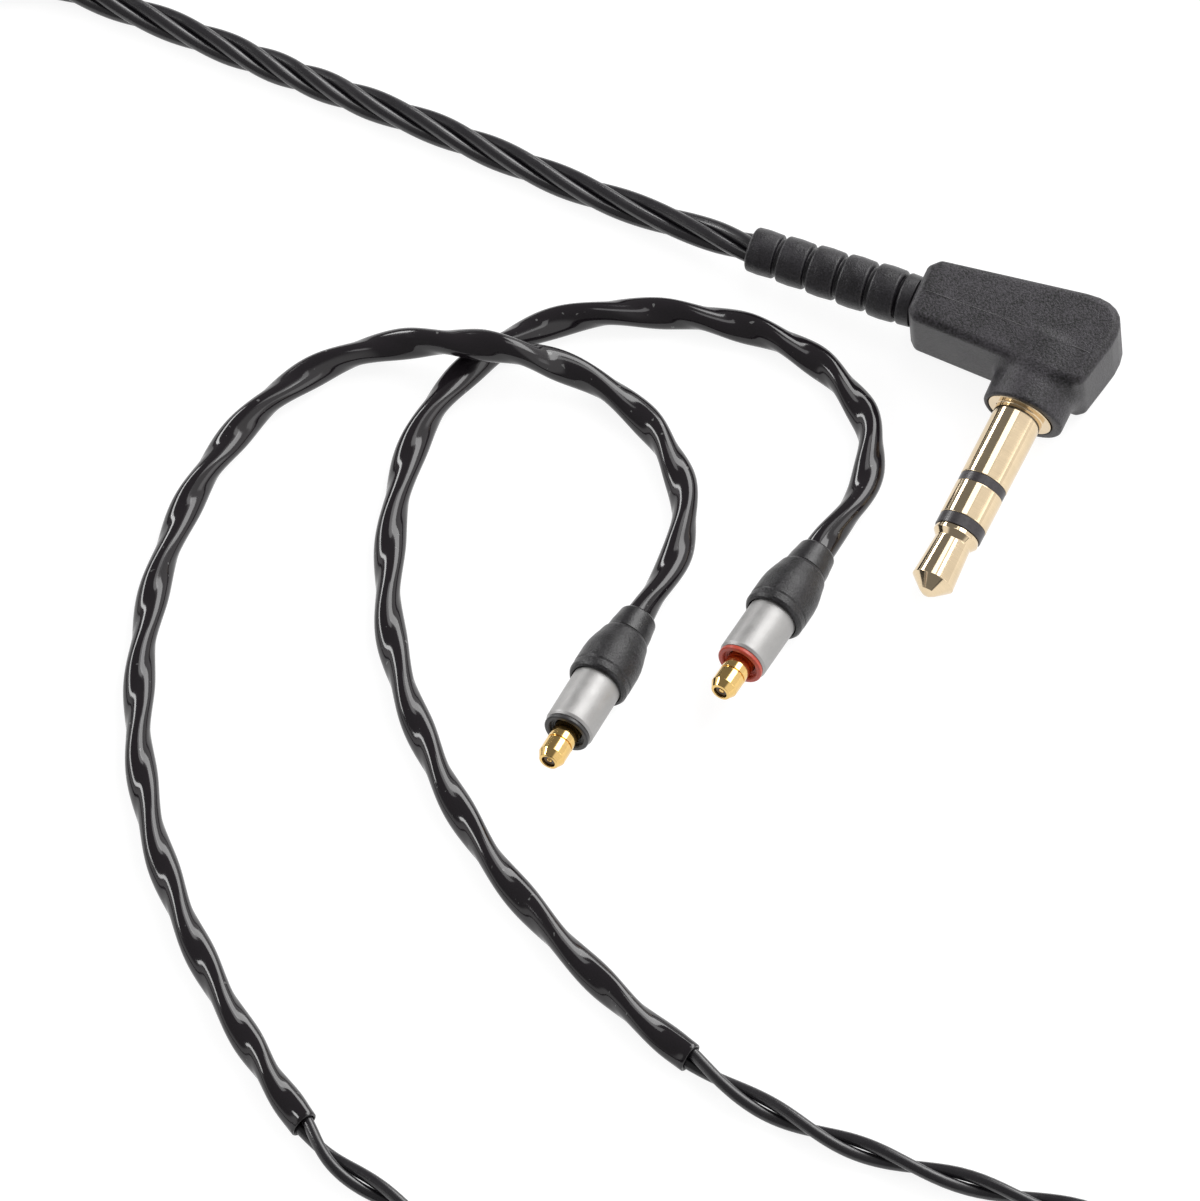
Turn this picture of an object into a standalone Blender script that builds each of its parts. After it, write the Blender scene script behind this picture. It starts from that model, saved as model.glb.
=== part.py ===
# Detachable earphone cable: right-angle 3.5 mm jack, four-core trunk, Y-split,
# chin slider and two ear-hook legs that end in small coaxial connectors.
# Metres, +Z up.  Everything lies on z = 0.
import bpy
import bmesh
import math
from mathutils import Vector, Matrix

MM = 0.001

# ---------------------------------------------------------------- dimensions
# layout point that becomes the origin: centre of the footprint of the rigid pieces
CENTRE_X, CENTRE_Y = 5.82, -35.18

# jack plug
BODY_T = 6.0            # thickness of the moulded body
BOSS_R = 2.95           # round collar that the jack comes out of
BOSS_V = 5.1            # collar end, from the cable axis
FLANGE_R = 2.385
BARREL_R = 1.75         # 3.5 mm jack
PLUG_AT = (31.2, 17.6, 3.41)      # where the cable axis and the jack axis cross
PLUG_YAW = 23.8         # cable axis, degrees below +X
PLUG_ROLL = 5.5         # jack tip dips until it touches the table

# earphone connectors
PIN_R = 0.97
PIN_TILT = 8.0          # lies on its boot, so the pin end is lifted
LEFT_LIP = (-0.254, -8.097, 2.53)
LEFT_YAW = 243.3
RIGHT_LIP = (11.86, -2.79, 2.53)
RIGHT_YAW = 240.9
LIP_T = 6.55            # boot lip, from the neck end along the connector axis

# cords
TRUNK_R = 1.1
PAIR_R = 0.95
HOOK_R = 1.1

# Y-split and chin slider
SPLIT_Y = -94.6
SPLIT_X0, SPLIT_X1 = -24.5, -10.5
SPLIT_H = 4.4
LEG_Z = 2.2
LEG_DY = 1.35
SLIDER_X0, SLIDER_X1 = -3.75, 3.75

for o in list(bpy.data.objects):
    bpy.data.objects.remove(o, do_unlink=True)


# ---------------------------------------------------------------- helpers
def material(name, rgb, rough, metal=0.0):
    m = bpy.data.materials.new(name)
    m.use_nodes = True
    b = m.node_tree.nodes["Principled BSDF"]
    b.inputs["Base Color"].default_value = (*rgb, 1.0)
    b.inputs["Roughness"].default_value = rough
    b.inputs["Metallic"].default_value = metal
    m.diffuse_color = (*rgb, 1.0)
    return m


SATIN_BLACK = ((0.035, 0.034, 0.036), 0.55, 0.0)
CORD_BLACK = ((0.018, 0.018, 0.019), 0.42, 0.0)
GLOSS_BLACK = ((0.012, 0.012, 0.013), 0.12, 0.0)
PALE_GOLD = ((0.83, 0.68, 0.42), 0.18, 1.0)
WARM_GOLD = ((0.86, 0.60, 0.22), 0.2, 1.0)
ALUMINIUM = ((0.72, 0.71, 0.70), 0.38, 1.0)
RED = ((0.48, 0.05, 0.03), 0.45, 0.0)
NATURAL = ((0.75, 0.73, 0.68), 0.5, 0.0)
BRASS = ((0.72, 0.55, 0.25), 0.35, 1.0)

SHIFT = Matrix.Translation(Vector((-CENTRE_X, -CENTRE_Y, 0.0)) * MM)


def frame(at, ax, ay, az):
    """Placement from a point in mm and three unit axes."""
    m = Matrix.Identity(4)
    for k, a in enumerate((ax, ay, az)):
        for r in range(3):
            m[r][k] = a[r]
    m.translation = Vector(at) * MM
    return SHIFT @ m


def finish(bm, name, look, place, sharp=35):
    bmesh.ops.remove_doubles(bm, verts=bm.verts, dist=1e-7)
    bmesh.ops.recalc_face_normals(bm, faces=bm.faces)
    me = bpy.data.meshes.new(name)
    bm.to_mesh(me)
    bm.free()
    me.shade_smooth()
    me.set_sharp_from_angle(angle=math.radians(sharp))
    o = bpy.data.objects.new(name, me)
    bpy.context.scene.collection.objects.link(o)
    o.matrix_world = place
    o.data.materials.append(material(name + "_finish", *look))
    return o


def turned(name, profile, look, place, segs=20):
    """Solid of revolution about local Z.  profile holds (radius, height) in mm:
    a chain from axis to axis, or a closed loop for a ring."""
    bm = bmesh.new()
    solid = profile[0][0] == 0 and profile[-1][0] == 0
    rows = []
    for r, h in profile:
        if r == 0:
            rows.append([bm.verts.new((0, 0, h * MM))])
        else:
            rows.append([bm.verts.new((r * MM * math.cos(2 * math.pi * k / segs),
                                       r * MM * math.sin(2 * math.pi * k / segs),
                                       h * MM)) for k in range(segs)])
    pairs = list(zip(rows, rows[1:]))
    if not solid:
        pairs.append((rows[-1], rows[0]))
    for a, b in pairs:
        for k in range(segs):
            n = (k + 1) % segs
            quad = [a[k % len(a)], a[n % len(a)], b[n % len(b)], b[k % len(b)]]
            face = []
            for v in quad:
                if v not in face:
                    face.append(v)
            bm.faces.new(face)
    return finish(bm, name, look, place)


def slab(name, outline, low, high, look, place, edge=0.0, steps=3):
    """Outline in local X, Y extruded from low to high along local Z, both rims rounded."""
    bm = bmesh.new()
    base = bm.faces.new([bm.verts.new((x * MM, y * MM, low * MM)) for x, y in outline])
    top = bmesh.ops.extrude_face_region(bm, geom=[base])["geom"]
    bmesh.ops.translate(bm, vec=(0, 0, (high - low) * MM),
                        verts=[g for g in top if isinstance(g, bmesh.types.BMVert)])
    if edge:
        rims = [e for e in bm.edges
                if abs(e.verts[0].co.z - e.verts[1].co.z) < 1e-7]
        bmesh.ops.bevel(bm, geom=rims, offset=edge * MM, segments=steps,
                        profile=0.5, affect='EDGES', clamp_overlap=True)
    return finish(bm, name, look, place)


def boolean(target, cutters, operation):
    for c in cutters:
        c.hide_render = True
        c.display_type = 'WIRE'
        mod = target.modifiers.new("cut_" + c.name, 'BOOLEAN')
        mod.operation = operation
        mod.solver = 'EXACT'
        mod.object = c


def rod(name, r, low, high, place, segs=20):
    """Plain cutter cylinder about local Z."""
    return turned(name, [(0, low), (r, low), (r, high), (0, high)], SATIN_BLACK, place, segs)


def block(name, low, high, place):
    (x0, y0, z0), (x1, y1, z1) = low, high
    return slab(name, [(x0, y0), (x1, y0), (x1, y1), (x0, y1)], z0, z1, SATIN_BLACK, place)


def smooth_path(points, step):
    """Even points, step mm apart, on a centripetal Catmull-Rom curve through points."""
    p = [Vector(q) for q in points]
    p = [p[0] * 2 - p[1]] + p + [p[-1] * 2 - p[-2]]
    fine = []
    for i in range(1, len(p) - 2):
        a, b, c, d = p[i - 1:i + 3]
        t0 = 0.0
        t1 = t0 + max((b - a).length, 1e-6) ** 0.5
        t2 = t1 + max((c - b).length, 1e-6) ** 0.5
        t3 = t2 + max((d - c).length, 1e-6) ** 0.5
        for k in range(24):
            t = t1 + (t2 - t1) * k / 24
            a1 = a * ((t1 - t) / (t1 - t0)) + b * ((t - t0) / (t1 - t0))
            a2 = b * ((t2 - t) / (t2 - t1)) + c * ((t - t1) / (t2 - t1))
            a3 = c * ((t3 - t) / (t3 - t2)) + d * ((t - t2) / (t3 - t2))
            b1 = a1 * ((t2 - t) / (t2 - t0)) + a2 * ((t - t0) / (t2 - t0))
            b2 = a2 * ((t3 - t) / (t3 - t1)) + a3 * ((t - t1) / (t3 - t1))
            fine.append(b1 * ((t2 - t) / (t2 - t1)) + b2 * ((t - t1) / (t2 - t1)))
    fine.append(p[-2])
    run = [0.0]
    for a, b in zip(fine, fine[1:]):
        run.append(run[-1] + (b - a).length)
    count = max(2, round(run[-1] / step) + 1)
    out, j = [], 0
    for k in range(count):
        s = run[-1] * k / (count - 1)
        while j < len(run) - 2 and run[j + 1] < s:
            j += 1
        f = (s - run[j]) / max(run[j + 1] - run[j], 1e-9)
        out.append(fine[j].lerp(fine[j + 1], min(max(f, 0), 1)))
    return out


def tube(name, points, r, look, step=None, resolution=2):
    """Cord or wire: a round tube along a smooth curve through points, in mm."""
    path = smooth_path(points, step or 5.0 * r)
    cu = bpy.data.curves.new(name, 'CURVE')
    cu.dimensions = '3D'
    cu.bevel_depth = r * MM
    cu.bevel_resolution = resolution
    cu.use_fill_caps = True
    sp = cu.splines.new('POLY')
    sp.points.add(len(path) - 1)
    for q, v in zip(sp.points, path):
        q.co = (v.x * MM, v.y * MM, max(v.z, r + 0.01) * MM, 1.0)     # never below the table
    o = bpy.data.objects.new(name, cu)
    bpy.context.scene.collection.objects.link(o)
    o.matrix_world = SHIFT
    cu.materials.append(material(name + "_finish", *look))
    return o


# ---------------------------------------------------------------- jack plug
LEAN = math.radians(2.0)
yaw, roll = math.radians(PLUG_YAW), math.radians(PLUG_ROLL)
U = Vector((math.cos(yaw), -math.sin(yaw), 0))                 # cable to far end
V = Vector((-math.sin(yaw) * math.cos(roll), -math.cos(yaw) * math.cos(roll),
            -math.sin(roll)))                                  # along the jack
W = V.cross(U)                                                 # up through the body
P0 = Vector(PLUG_AT)
BODY = frame(P0, U, V, U.cross(V))       # local x = U, y = V, z = -W
# turned jack parts: local Z along the jack, local X along W, local Y completes the set;
# the contact stack leans a little in its seat
BOSS = frame(P0, W, V.cross(W), V)
JACK_V = (V * math.cos(LEAN) - U * math.sin(LEAN)).normalized()
JACK_AT = P0 + (JACK_V - V) * 0.5
JACK = frame(JACK_AT, W, JACK_V.cross(W), JACK_V)
# turned parts about the cable axis: local Z along -U
REAR = frame(P0, W, (-U).cross(W), -U)


def at_plug(u, v, w):
    return P0 + U * u + V * v + W * w


# body outline in U, V: wedge that deepens towards the jack, rounded far corner
outline = [(-10.0, 1.75), (-9.4, 2.35), (2.9, 2.65), (3.45, 2.2), (4.15, -1.2)]
for k in range(1, 7):
    t = k / 7
    a, b, c = Vector((4.15, -1.2)), Vector((4.55, -4.65)), Vector((1.0, -4.15))
    q = a * (1 - t) ** 2 + b * 2 * t * (1 - t) + c * t * t
    outline.append((q.x, q.y))
outline += [(1.0, -4.15), (-9.3, -2.55), (-10.0, -1.8)]
body = slab("plug_overmould", outline, -BODY_T / 2, BODY_T / 2, SATIN_BLACK, BODY, 0.9, 3)
boss = turned("boss_union", [(0, 0.0), (BOSS_R, 0.0), (BOSS_R, BOSS_V - 0.2),
                             (BOSS_R - 0.2, BOSS_V), (0, BOSS_V)], SATIN_BLACK, BOSS, 32)
cavity = block("cavity_cut", (-8.6, -1.9, -1.9), (2.6, 1.5, 1.9), BODY)
jack_bore = rod("jack_bore_cut", 1.95, 0.5, 6.0, JACK, 24)
flange_seat = rod("flange_seat_cut", FLANGE_R + 0.06, BOSS_V - 0.42, 6.0, JACK, 32)
cable_bore = rod("cable_bore_cut", 1.7, 7.0, 11.0, REAR, 20)
boolean(body, [boss], 'UNION')
boolean(body, [cavity, jack_bore, flange_seat, cable_bore], 'DIFFERENCE')

# segmented strain relief on its own axis, bending slightly down to the table
RELIEF_AT = at_plug(-10.0, 0, 0)
S = Vector((-0.9185, 0.3878, -0.0775)).normalized()
RELIEF = frame(RELIEF_AT, Vector((0, 0, 1)).cross(S).normalized(),
               S.cross(Vector((0, 0, 1)).cross(S).normalized()), S)
relief = [(1.3, -1.1), (1.55, -1.1), (1.55, 0.12), (1.82, 0.12), (1.85, 1.1), (1.45, 1.25)]
for k in range(5):
    mid, big = 2.33 + 2.3 * k, 1.93 - 0.075 * k
    relief += [(1.42 - 0.04 * k, mid - 0.98), (big - 0.16, mid - 0.86), (big, mid - 0.62),
               (big - 0.02, mid + 0.62), (big - 0.2, mid + 0.86), (1.4 - 0.04 * k, mid + 0.98)]
relief += [(1.22, 12.55), (1.22, 0.5)]
turned("strain_relief", relief, SATIN_BLACK, RELIEF, 20)

# jack contact stack, front to back: each ring sits on the tail of the one behind it
FRONT = BOSS_V + 0.02
turned("jack_sleeve", [(1.30, 1.9), (1.85, 1.9), (1.85, FRONT - 0.34), (FLANGE_R, FRONT - 0.34),
                       (FLANGE_R, FRONT), (BARREL_R, FRONT), (BARREL_R, 10.84), (1.30, 10.84)],
       PALE_GOLD, JACK, 32)
turned("rear_insulator", [(0.95, 1.2), (1.25, 1.2), (1.25, 10.89), (1.72, 10.89), (1.72, 11.5),
                          (0.95, 11.5)], SATIN_BLACK, JACK, 24)
turned("ring_contact", [(0.60, 0.4), (0.90, 0.4), (0.90, 11.55), (BARREL_R, 11.55),
                        (BARREL_R, 14.15), (0.60, 14.15)], PALE_GOLD, JACK, 24)
turned("front_insulator", [(0.40, -0.2), (0.55, -0.2), (0.55, 14.2), (1.72, 14.2), (1.72, 14.98),
                           (0.40, 14.98)], SATIN_BLACK, JACK, 24)
turned("tip_contact", [(0, -0.9), (0.35, -0.9), (0.35, 15.03), (1.62, 15.03), (1.64, 15.35),
                       (1.31, 15.8), (1.53, 19.0), (0.62, 19.85), (0.3, 20.05), (0, 20.1)],
       PALE_GOLD, JACK, 24)
turned("sleeve_solder_tag", [(1.32, 1.5), (1.8, 1.5), (1.8, 1.8), (1.32, 1.8)], BRASS, JACK, 16)
turned("ring_solder_tag", [(0.96, 0.75), (1.6, 0.75), (1.6, 1.05), (0.96, 1.05)], BRASS, JACK, 16)

# cable clamp and the four soldered wires inside the body
turned("crimp_ferrule", [(1.18, 6.6), (1.42, 6.6), (1.42, 8.4), (1.18, 8.4)], BRASS, REAR, 16)


def wire(name, pts, look):
    tube(name, [tuple(at_plug(*q)) for q in pts], 0.22, look, 1.0)


wire("left_signal_wire", [(-6.4, -0.35, 0.35), (-4.5, -0.9, 0.3), (-2.2, -1.3, 0.1), (-0.7, -1.25, 0)], GLOSS_BLACK)
wire("right_signal_wire", [(-6.4, 0.35, 0.35), (-4.6, 0.3, 0.7), (-3.0, 0.25, 0.8), (-1.9, 0.9, 0.3)], RED)
wire("left_return_wire", [(-6.4, -0.35, -0.35), (-4.8, -0.5, -0.9), (-3.4, 0.2, -1.2), (-2.2, 1.2, -0.9)], BRASS)
wire("right_return_wire", [(-6.4, 0.35, -0.35), (-5.0, 0.9, -0.3), (-3.4, 1.15, 0.1), (-2.15, 1.2, -0.15)], BRASS)


# ---------------------------------------------------------------- earphone connectors
def connector(side, lip, yaw_deg, ring_look):
    a, b = math.radians(yaw_deg), math.radians(PIN_TILT)
    d = Vector((math.cos(b) * math.cos(a), math.cos(b) * math.sin(a), math.sin(b)))
    x = Vector((0, 0, 1)).cross(d).normalized()
    start = Vector(lip) - d * LIP_T
    place = frame(start, x, d.cross(x), d)
    turned(side + "_neck_collar", [(1.2, 0.0), (1.32, 0.0), (1.38, 0.2), (1.52, 1.1), (1.58, 1.95), (1.2, 1.95)],
           GLOSS_BLACK, place, 20)
    turned(side + "_boot", [(1.0, 2.0), (1.62, 2.0), (1.74, 2.25), (1.87, 2.75), (2.02, 3.25),
                            (2.13, 3.75), (2.19, 4.3), (2.2, 5.2), (2.2, 5.7), (2.16, 5.82),
                            (2.18, 5.95), (2.18, 6.3), (2.02, 6.55), (1.85, 6.55), (1.85, 5.3),
                            (1.0, 5.3)], SATIN_BLACK, place, 24)
    turned(side + "_sleeve", [(1.5, 5.4), (1.78, 5.4), (1.78, 10.75), (1.68, 10.9), (1.5, 10.9)],
           ALUMINIUM, place, 24)
    turned(side + "_collar_ring", [(1.04, 9.4), (1.44, 9.4), (1.44, 10.95), (1.7, 10.95),
                                   (1.7, 11.2), (1.62, 11.25), (1.3, 11.25), (1.3, 10.9),
                                   (1.04, 10.9)], ring_look, place, 24)
    turned(side + "_pin_shell", [(0.5, 8.9), (PIN_R, 8.9), (PIN_R, 12.2), (PIN_R - 0.08, 12.28),
                                 (PIN_R - 0.08, 12.38), (PIN_R, 12.46), (PIN_R, 13.45),
                                 (0.72, 14.0), (0.5, 14.0)], WARM_GOLD, place, 20)
    turned(side + "_pin_insulator", [(0.22, 8.7), (0.45, 8.7), (0.45, 13.9), (0.22, 13.9)],
           SATIN_BLACK, place, 16)
    turned(side + "_centre_contact", [(0, 8.0), (0.17, 8.0), (0.17, 13.75), (0, 13.8)],
           WARM_GOLD, place, 12)
    turned(side + "_inner_crimp", [(0.75, 6.0), (1.2, 6.0), (1.2, 7.8), (0.75, 7.8)],
           BRASS, place, 16)
    return start, d


left_start, left_d = connector("left", LEFT_LIP, LEFT_YAW, SATIN_BLACK)
right_start, right_d = connector("right", RIGHT_LIP, RIGHT_YAW, RED)

# ---------------------------------------------------------------- routes, in mm on the table
# trunk: from the plug, up and out over the far left corner, then down the left side
TRUNK_OUT = [tuple(at_plug(-8.2, 0, 0)), tuple(RELIEF_AT + S * 1.0), tuple(RELIEF_AT + S * 7.0),
             tuple(RELIEF_AT + S * 12.8), (4.5, 29.4, 1.4), (-0.8, 31.75, 1.12),
             (-6.1, 34.25, 1.12), (-11.35, 36.75, 1.12), (-16.6, 39.05, 1.12),
             (-21.9, 41.4, 1.12), (-27.2, 43.8, 1.12), (-32.5, 46.2, 1.12), (-38.3, 48.5, 1.12),
             (-42.2, 48.6, 1.12), (-45.1, 46.4, 1.12),
             (-46.4, 42.3, 1.12), (-46.6, 36.0, 1.12), (-46.5, 20.0, 1.12), (-46.4, 0.0, 1.12),
             (-46.4, -20.0, 1.12), (-46.5, -40.0, 1.12), (-46.6, -53.0, 1.12), (-46.5, -60.5, 1.12),
             (-46.4, -64.0, 1.12)]
TRUNK_COIL_AT, TRUNK_COIL_IN, TRUNK_COIL_OUT = (-29.5, -73.0), 8.65, 17.75
TRUNK_IN = [(-28.7, -92.95, 2.75), (-27.3, -93.8, 2.45), (-25.8, -94.35, 2.2),
            (-23.6, SPLIT_Y, 2.2), (-20.5, SPLIT_Y, 2.2)]

# left leg: connector, round over the right leg, down the left of the view, out at the near edge
LEFT_HOOK = [tuple(left_start + left_d * 1.9), tuple(left_start), tuple(left_start - left_d * 0.9),
             (5.45, 3.5, 1.12), (5.7, 8.25, 1.12), (3.9, 12.55, 1.12), (0.85, 15.8, 1.2),
             (-2.9, 17.4, 2.2), (-7.0, 18.0, 3.55), (-11.25, 19.1, 2.4), (-15.4, 19.3, 1.2),
             (-19.35, 17.75, 1.12), (-22.9, 15.1, 1.12), (-25.8, 11.65, 1.12), (-28.15, 7.65, 1.12),
             (-29.9, 3.2, 1.12), (-31.1, -1.5, 1.12), (-31.7, -6.3, 1.12), (-31.8, -11.1, 1.12),
             (-31.35, -15.85, 1.12), (-30.35, -20.5, 1.12), (-28.85, -25.05, 1.12),
             (-27.05, -29.45, 1.12), (-25.0, -33.7, 1.12), (-22.75, -37.8, 1.12),
             (-20.35, -41.7, 1.12)]
LEFT_UPPER = [(-20.2, -41.95, 1.0), (-18.2, -44.6, 0.97), (-14.1, -47.6, 0.97), (-9.0, -51.0, 0.97),
              (-3.0, -54.2, 1.05), (2.5, -56.4, 1.5), (6.9, -57.95, 2.1)]
LEFT_COIL_AT, LEFT_COIL_IN, LEFT_COIL_OUT = (11.0, -72.0), 9.05, 12.95
LEFT_LOWER = [(24.1, -78.0, 0.97), (24.5, -82.0, 0.97), (23.8, -86.5, 1.0), (21.4, -90.4, 1.3),
              (18.2, -92.5, 1.8), (14.8, -93.25, 2.2), (10.0, -93.25, 2.2), (0.0, -93.25, 2.2),
              (-8.0, -93.25, 2.2), (-14.5, -93.25, 2.2)]

# right leg: connector, round to the left under the other leg, down the middle
RIGHT_HOOK = [tuple(right_start + right_d * 1.9), tuple(right_start), tuple(right_start - right_d * 0.9),
              (18.3, 8.5, 1.12), (18.55, 13.2, 1.12), (16.1, 17.25, 1.12), (12.6, 19.9, 1.12),
              (8.5, 21.4, 1.12), (4.2, 22.1, 1.12), (-0.05, 22.05, 1.12), (-4.2, 20.95, 1.12),
              (-7.9, 18.7, 1.12), (-11.05, 15.25, 1.12), (-13.1, 11.0, 1.12), (-14.2, 6.25, 1.12),
              (-14.6, 1.4, 1.12), (-14.4, -3.45, 1.12), (-13.3, -8.2, 1.12), (-11.65, -12.8, 1.12),
              (-9.7, -17.1, 1.12), (-7.35, -21.2, 1.12), (-4.65, -25.0, 1.12), (-1.7, -28.6, 1.12),
              (1.35, -32.0, 1.12), (4.6, -35.15, 1.12), (6.2, -36.55, 1.12)]
RIGHT_UPPER = [(6.4, -36.72, 1.0), (8.1, -38.1, 0.97), (11.5, -40.4, 0.97), (15.4, -42.5, 0.97),
               (20.0, -44.4, 0.97), (25.0, -46.1, 0.97), (30.0, -47.7, 0.97), (36.0, -49.4, 0.97),
               (42.0, -52.2, 1.1), (46.6, -57.0, 1.7), (48.2, -60.4, 2.3)]
RIGHT_COIL_AT, RIGHT_COIL_IN, RIGHT_COIL_OUT = (38.2, -70.0), 8.45, 12.35
RIGHT_LOWER = [(40.1, -84.3, 0.97), (37.0, -87.4, 0.97), (33.0, -91.2, 0.97), (28.2, -94.4, 1.0),
               (22.0, -96.0, 1.4), (18.0, -96.1, 1.9), (14.8, -95.95, 2.2), (10.0, -95.95, 2.2),
               (0.0, -95.95, 2.2), (-8.0, -95.95, 2.2), (-14.5, -95.95, 2.2)]

tube("trunk_lead", TRUNK_OUT, TRUNK_R, CORD_BLACK)
tube("trunk_tail", TRUNK_IN, TRUNK_R, CORD_BLACK, 2.5)
tube("left_ear_hook", LEFT_HOOK, HOOK_R, GLOSS_BLACK, 4.0)
tube("right_ear_hook", RIGHT_HOOK, HOOK_R, GLOSS_BLACK, 4.0)
tube("left_leg_upper", LEFT_UPPER, PAIR_R, CORD_BLACK)
tube("right_leg_upper", RIGHT_UPPER, PAIR_R, CORD_BLACK)
tube("left_leg_lower", LEFT_LOWER, PAIR_R, CORD_BLACK, 4.0)
tube("right_leg_lower", RIGHT_LOWER, PAIR_R, CORD_BLACK, 4.0)


def coil(name, at, r_in, r_out, high):
    """Outer shape of a wound coil lying flat: a ring with softened corners."""
    c = 0.6
    turned(name, [(r_in, c), (r_in + c, 0.0), (r_out - c, 0.0), (r_out, c), (r_out, high - c),
                  (r_out - c, high), (r_in + c, high), (r_in, high - c)], CORD_BLACK,
           SHIFT @ Matrix.Translation(Vector((at[0], at[1], 0)) * MM), 32)


coil("trunk_coil", TRUNK_COIL_AT, TRUNK_COIL_IN, TRUNK_COIL_OUT, 4.5)
coil("left_leg_coil", LEFT_COIL_AT, LEFT_COIL_IN, LEFT_COIL_OUT, 3.9)
coil("right_leg_coil", RIGHT_COIL_AT, RIGHT_COIL_IN, RIGHT_COIL_OUT, 3.9)

# ---------------------------------------------------------------- Y-split
FLAT = SHIFT
ys = SPLIT_Y
split_outline = []
for x, w in ((SPLIT_X0, 1.75), (SPLIT_X0 + 0.5, 2.0), (SPLIT_X0 + 3.5, 2.15), (SPLIT_X0 + 6.5, 2.9),
             (SPLIT_X0 + 9.5, 3.5), (SPLIT_X1 - 0.8, 3.6), (SPLIT_X1, 3.1)):
    split_outline.append((x, w))
split_outline = [(x, ys - w) for x, w in split_outline] + [(x, ys + w) for x, w in reversed(split_outline)]
X_AXIS = frame((0, ys, LEG_Z), Vector((0, 1, 0)), Vector((0, 0, 1)), Vector((1, 0, 0)))


def split_shell(name, low, high, bevel_top):
    shell = slab(name, split_outline, low, high, SATIN_BLACK, FLAT)
    bm = bmesh.new()
    bm.from_mesh(shell.data)
    z = (high if bevel_top else low) * MM
    rim = [e for e in bm.edges if all(abs(v.co.z - z) < 1e-7 for v in e.verts)]
    bmesh.ops.bevel(bm, geom=rim, offset=0.7 * MM, segments=2, profile=0.5, affect='EDGES')
    bmesh.ops.recalc_face_normals(bm, faces=bm.faces)
    bm.to_mesh(shell.data)
    bm.free()
    hollow = block(name + "_hollow", (-20.6, ys - 2.35, 1.0), (-13.4, ys + 2.35, 3.4), FLAT)
    trunk_way = rod(name + "_trunk_way", 1.35, -27.0, -19.5, X_AXIS, 16)
    ways = [hollow, trunk_way]
    for k, dy in enumerate((LEG_DY, -LEG_DY)):
        place = frame((0, ys + dy, LEG_Z), Vector((0, 1, 0)), Vector((0, 0, 1)), Vector((1, 0, 0)))
        ways.append(rod("%s_leg_way_%d" % (name, k), 1.15, -15.5, -9.0, place, 16))
    boolean(shell, ways, 'DIFFERENCE')
    return shell


split_shell("ysplit_lower_shell", 0.0, LEG_Z - 0.05, False)
split_shell("ysplit_upper_shell", LEG_Z + 0.05, SPLIT_H, True)
slab("ysplit_splice_block", [(-19.8, ys - 1.7), (-15.2, ys - 2.0), (-15.2, ys + 2.0), (-19.8, ys + 1.7)],
     1.35, 3.05, NATURAL, FLAT, 0.3, 1)

# ---------------------------------------------------------------- chin slider
slider_outline = [(SLIDER_X0, ys - 2.2), (SLIDER_X0 + 0.8, ys - 3.1), (SLIDER_X1 - 0.8, ys - 3.1),
                  (SLIDER_X1, ys - 2.2), (SLIDER_X1, ys + 2.2), (SLIDER_X1 - 0.8, ys + 3.1),
                  (SLIDER_X0 + 0.8, ys + 3.1), (SLIDER_X0, ys + 2.2)]
slider = slab("chin_slider", slider_outline, 0.02, SPLIT_H - 0.02, SATIN_BLACK, FLAT, 0.6, 2)
cuts = []
for k, dy in enumerate((LEG_DY, -LEG_DY)):
    place = frame((0, ys + dy, LEG_Z), Vector((0, 1, 0)), Vector((0, 0, 1)), Vector((1, 0, 0)))
    cuts.append(rod("slider_way_%d" % k, 1.26, SLIDER_X0 - 2, SLIDER_X1 + 2, place, 16))
boolean(slider, cuts, 'DIFFERENCE')
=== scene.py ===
"""Detachable in-ear monitor cable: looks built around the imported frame.

Layout coordinates are millimetres on the table, the same ones the CAD source uses.
row() turns them into the frame's metres.
"""

import math

import bpy
import numpy as np
from mathutils import Matrix, Vector


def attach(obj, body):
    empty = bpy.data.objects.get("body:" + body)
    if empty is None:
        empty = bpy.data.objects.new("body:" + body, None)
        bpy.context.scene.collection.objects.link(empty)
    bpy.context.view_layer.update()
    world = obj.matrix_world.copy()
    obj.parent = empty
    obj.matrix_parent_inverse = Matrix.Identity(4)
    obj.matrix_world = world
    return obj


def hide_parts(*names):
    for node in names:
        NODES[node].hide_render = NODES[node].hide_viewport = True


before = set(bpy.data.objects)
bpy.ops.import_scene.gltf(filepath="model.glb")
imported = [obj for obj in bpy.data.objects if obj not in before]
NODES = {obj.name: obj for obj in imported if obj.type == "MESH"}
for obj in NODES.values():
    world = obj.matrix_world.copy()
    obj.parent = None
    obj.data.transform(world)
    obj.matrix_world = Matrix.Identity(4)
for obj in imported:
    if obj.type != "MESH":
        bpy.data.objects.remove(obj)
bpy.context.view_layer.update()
CABLE, SLIDER = "cable", "slider"
MM = 0.001
ORIGIN = np.array([5.82, -35.18, 0.0])
TAU = 2 * math.pi


def row(p):
    return (np.asarray(p, float) - ORIGIN) * MM


def unit(v):
    v = np.asarray(v, float)
    return v / np.linalg.norm(v, axis=-1, keepdims=True)


# =====================================================================  materials
def new_material(name):
    m = bpy.data.materials.new(name)
    m.use_nodes = True
    nt = m.node_tree
    return m, nt, nt.nodes["Principled BSDF"]


def node(nt, kind, **values):
    n = nt.nodes.new(kind)
    for k, v in values.items():
        if k in n.inputs:
            n.inputs[k].default_value = v
        else:
            setattr(n, k, v)
    return n


def ramp(nt, source, stops):
    r = nt.nodes.new("ShaderNodeValToRGB")
    e = r.color_ramp.elements
    while len(e) < len(stops):
        e.new(0.5)
    for k, (at, value) in enumerate(stops):
        e[k].position = at
        e[k].color = (value, value, value, 1) if isinstance(value, (int, float)) else (*value, 1)
    nt.links.new(source, r.inputs[0])
    return r


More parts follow.
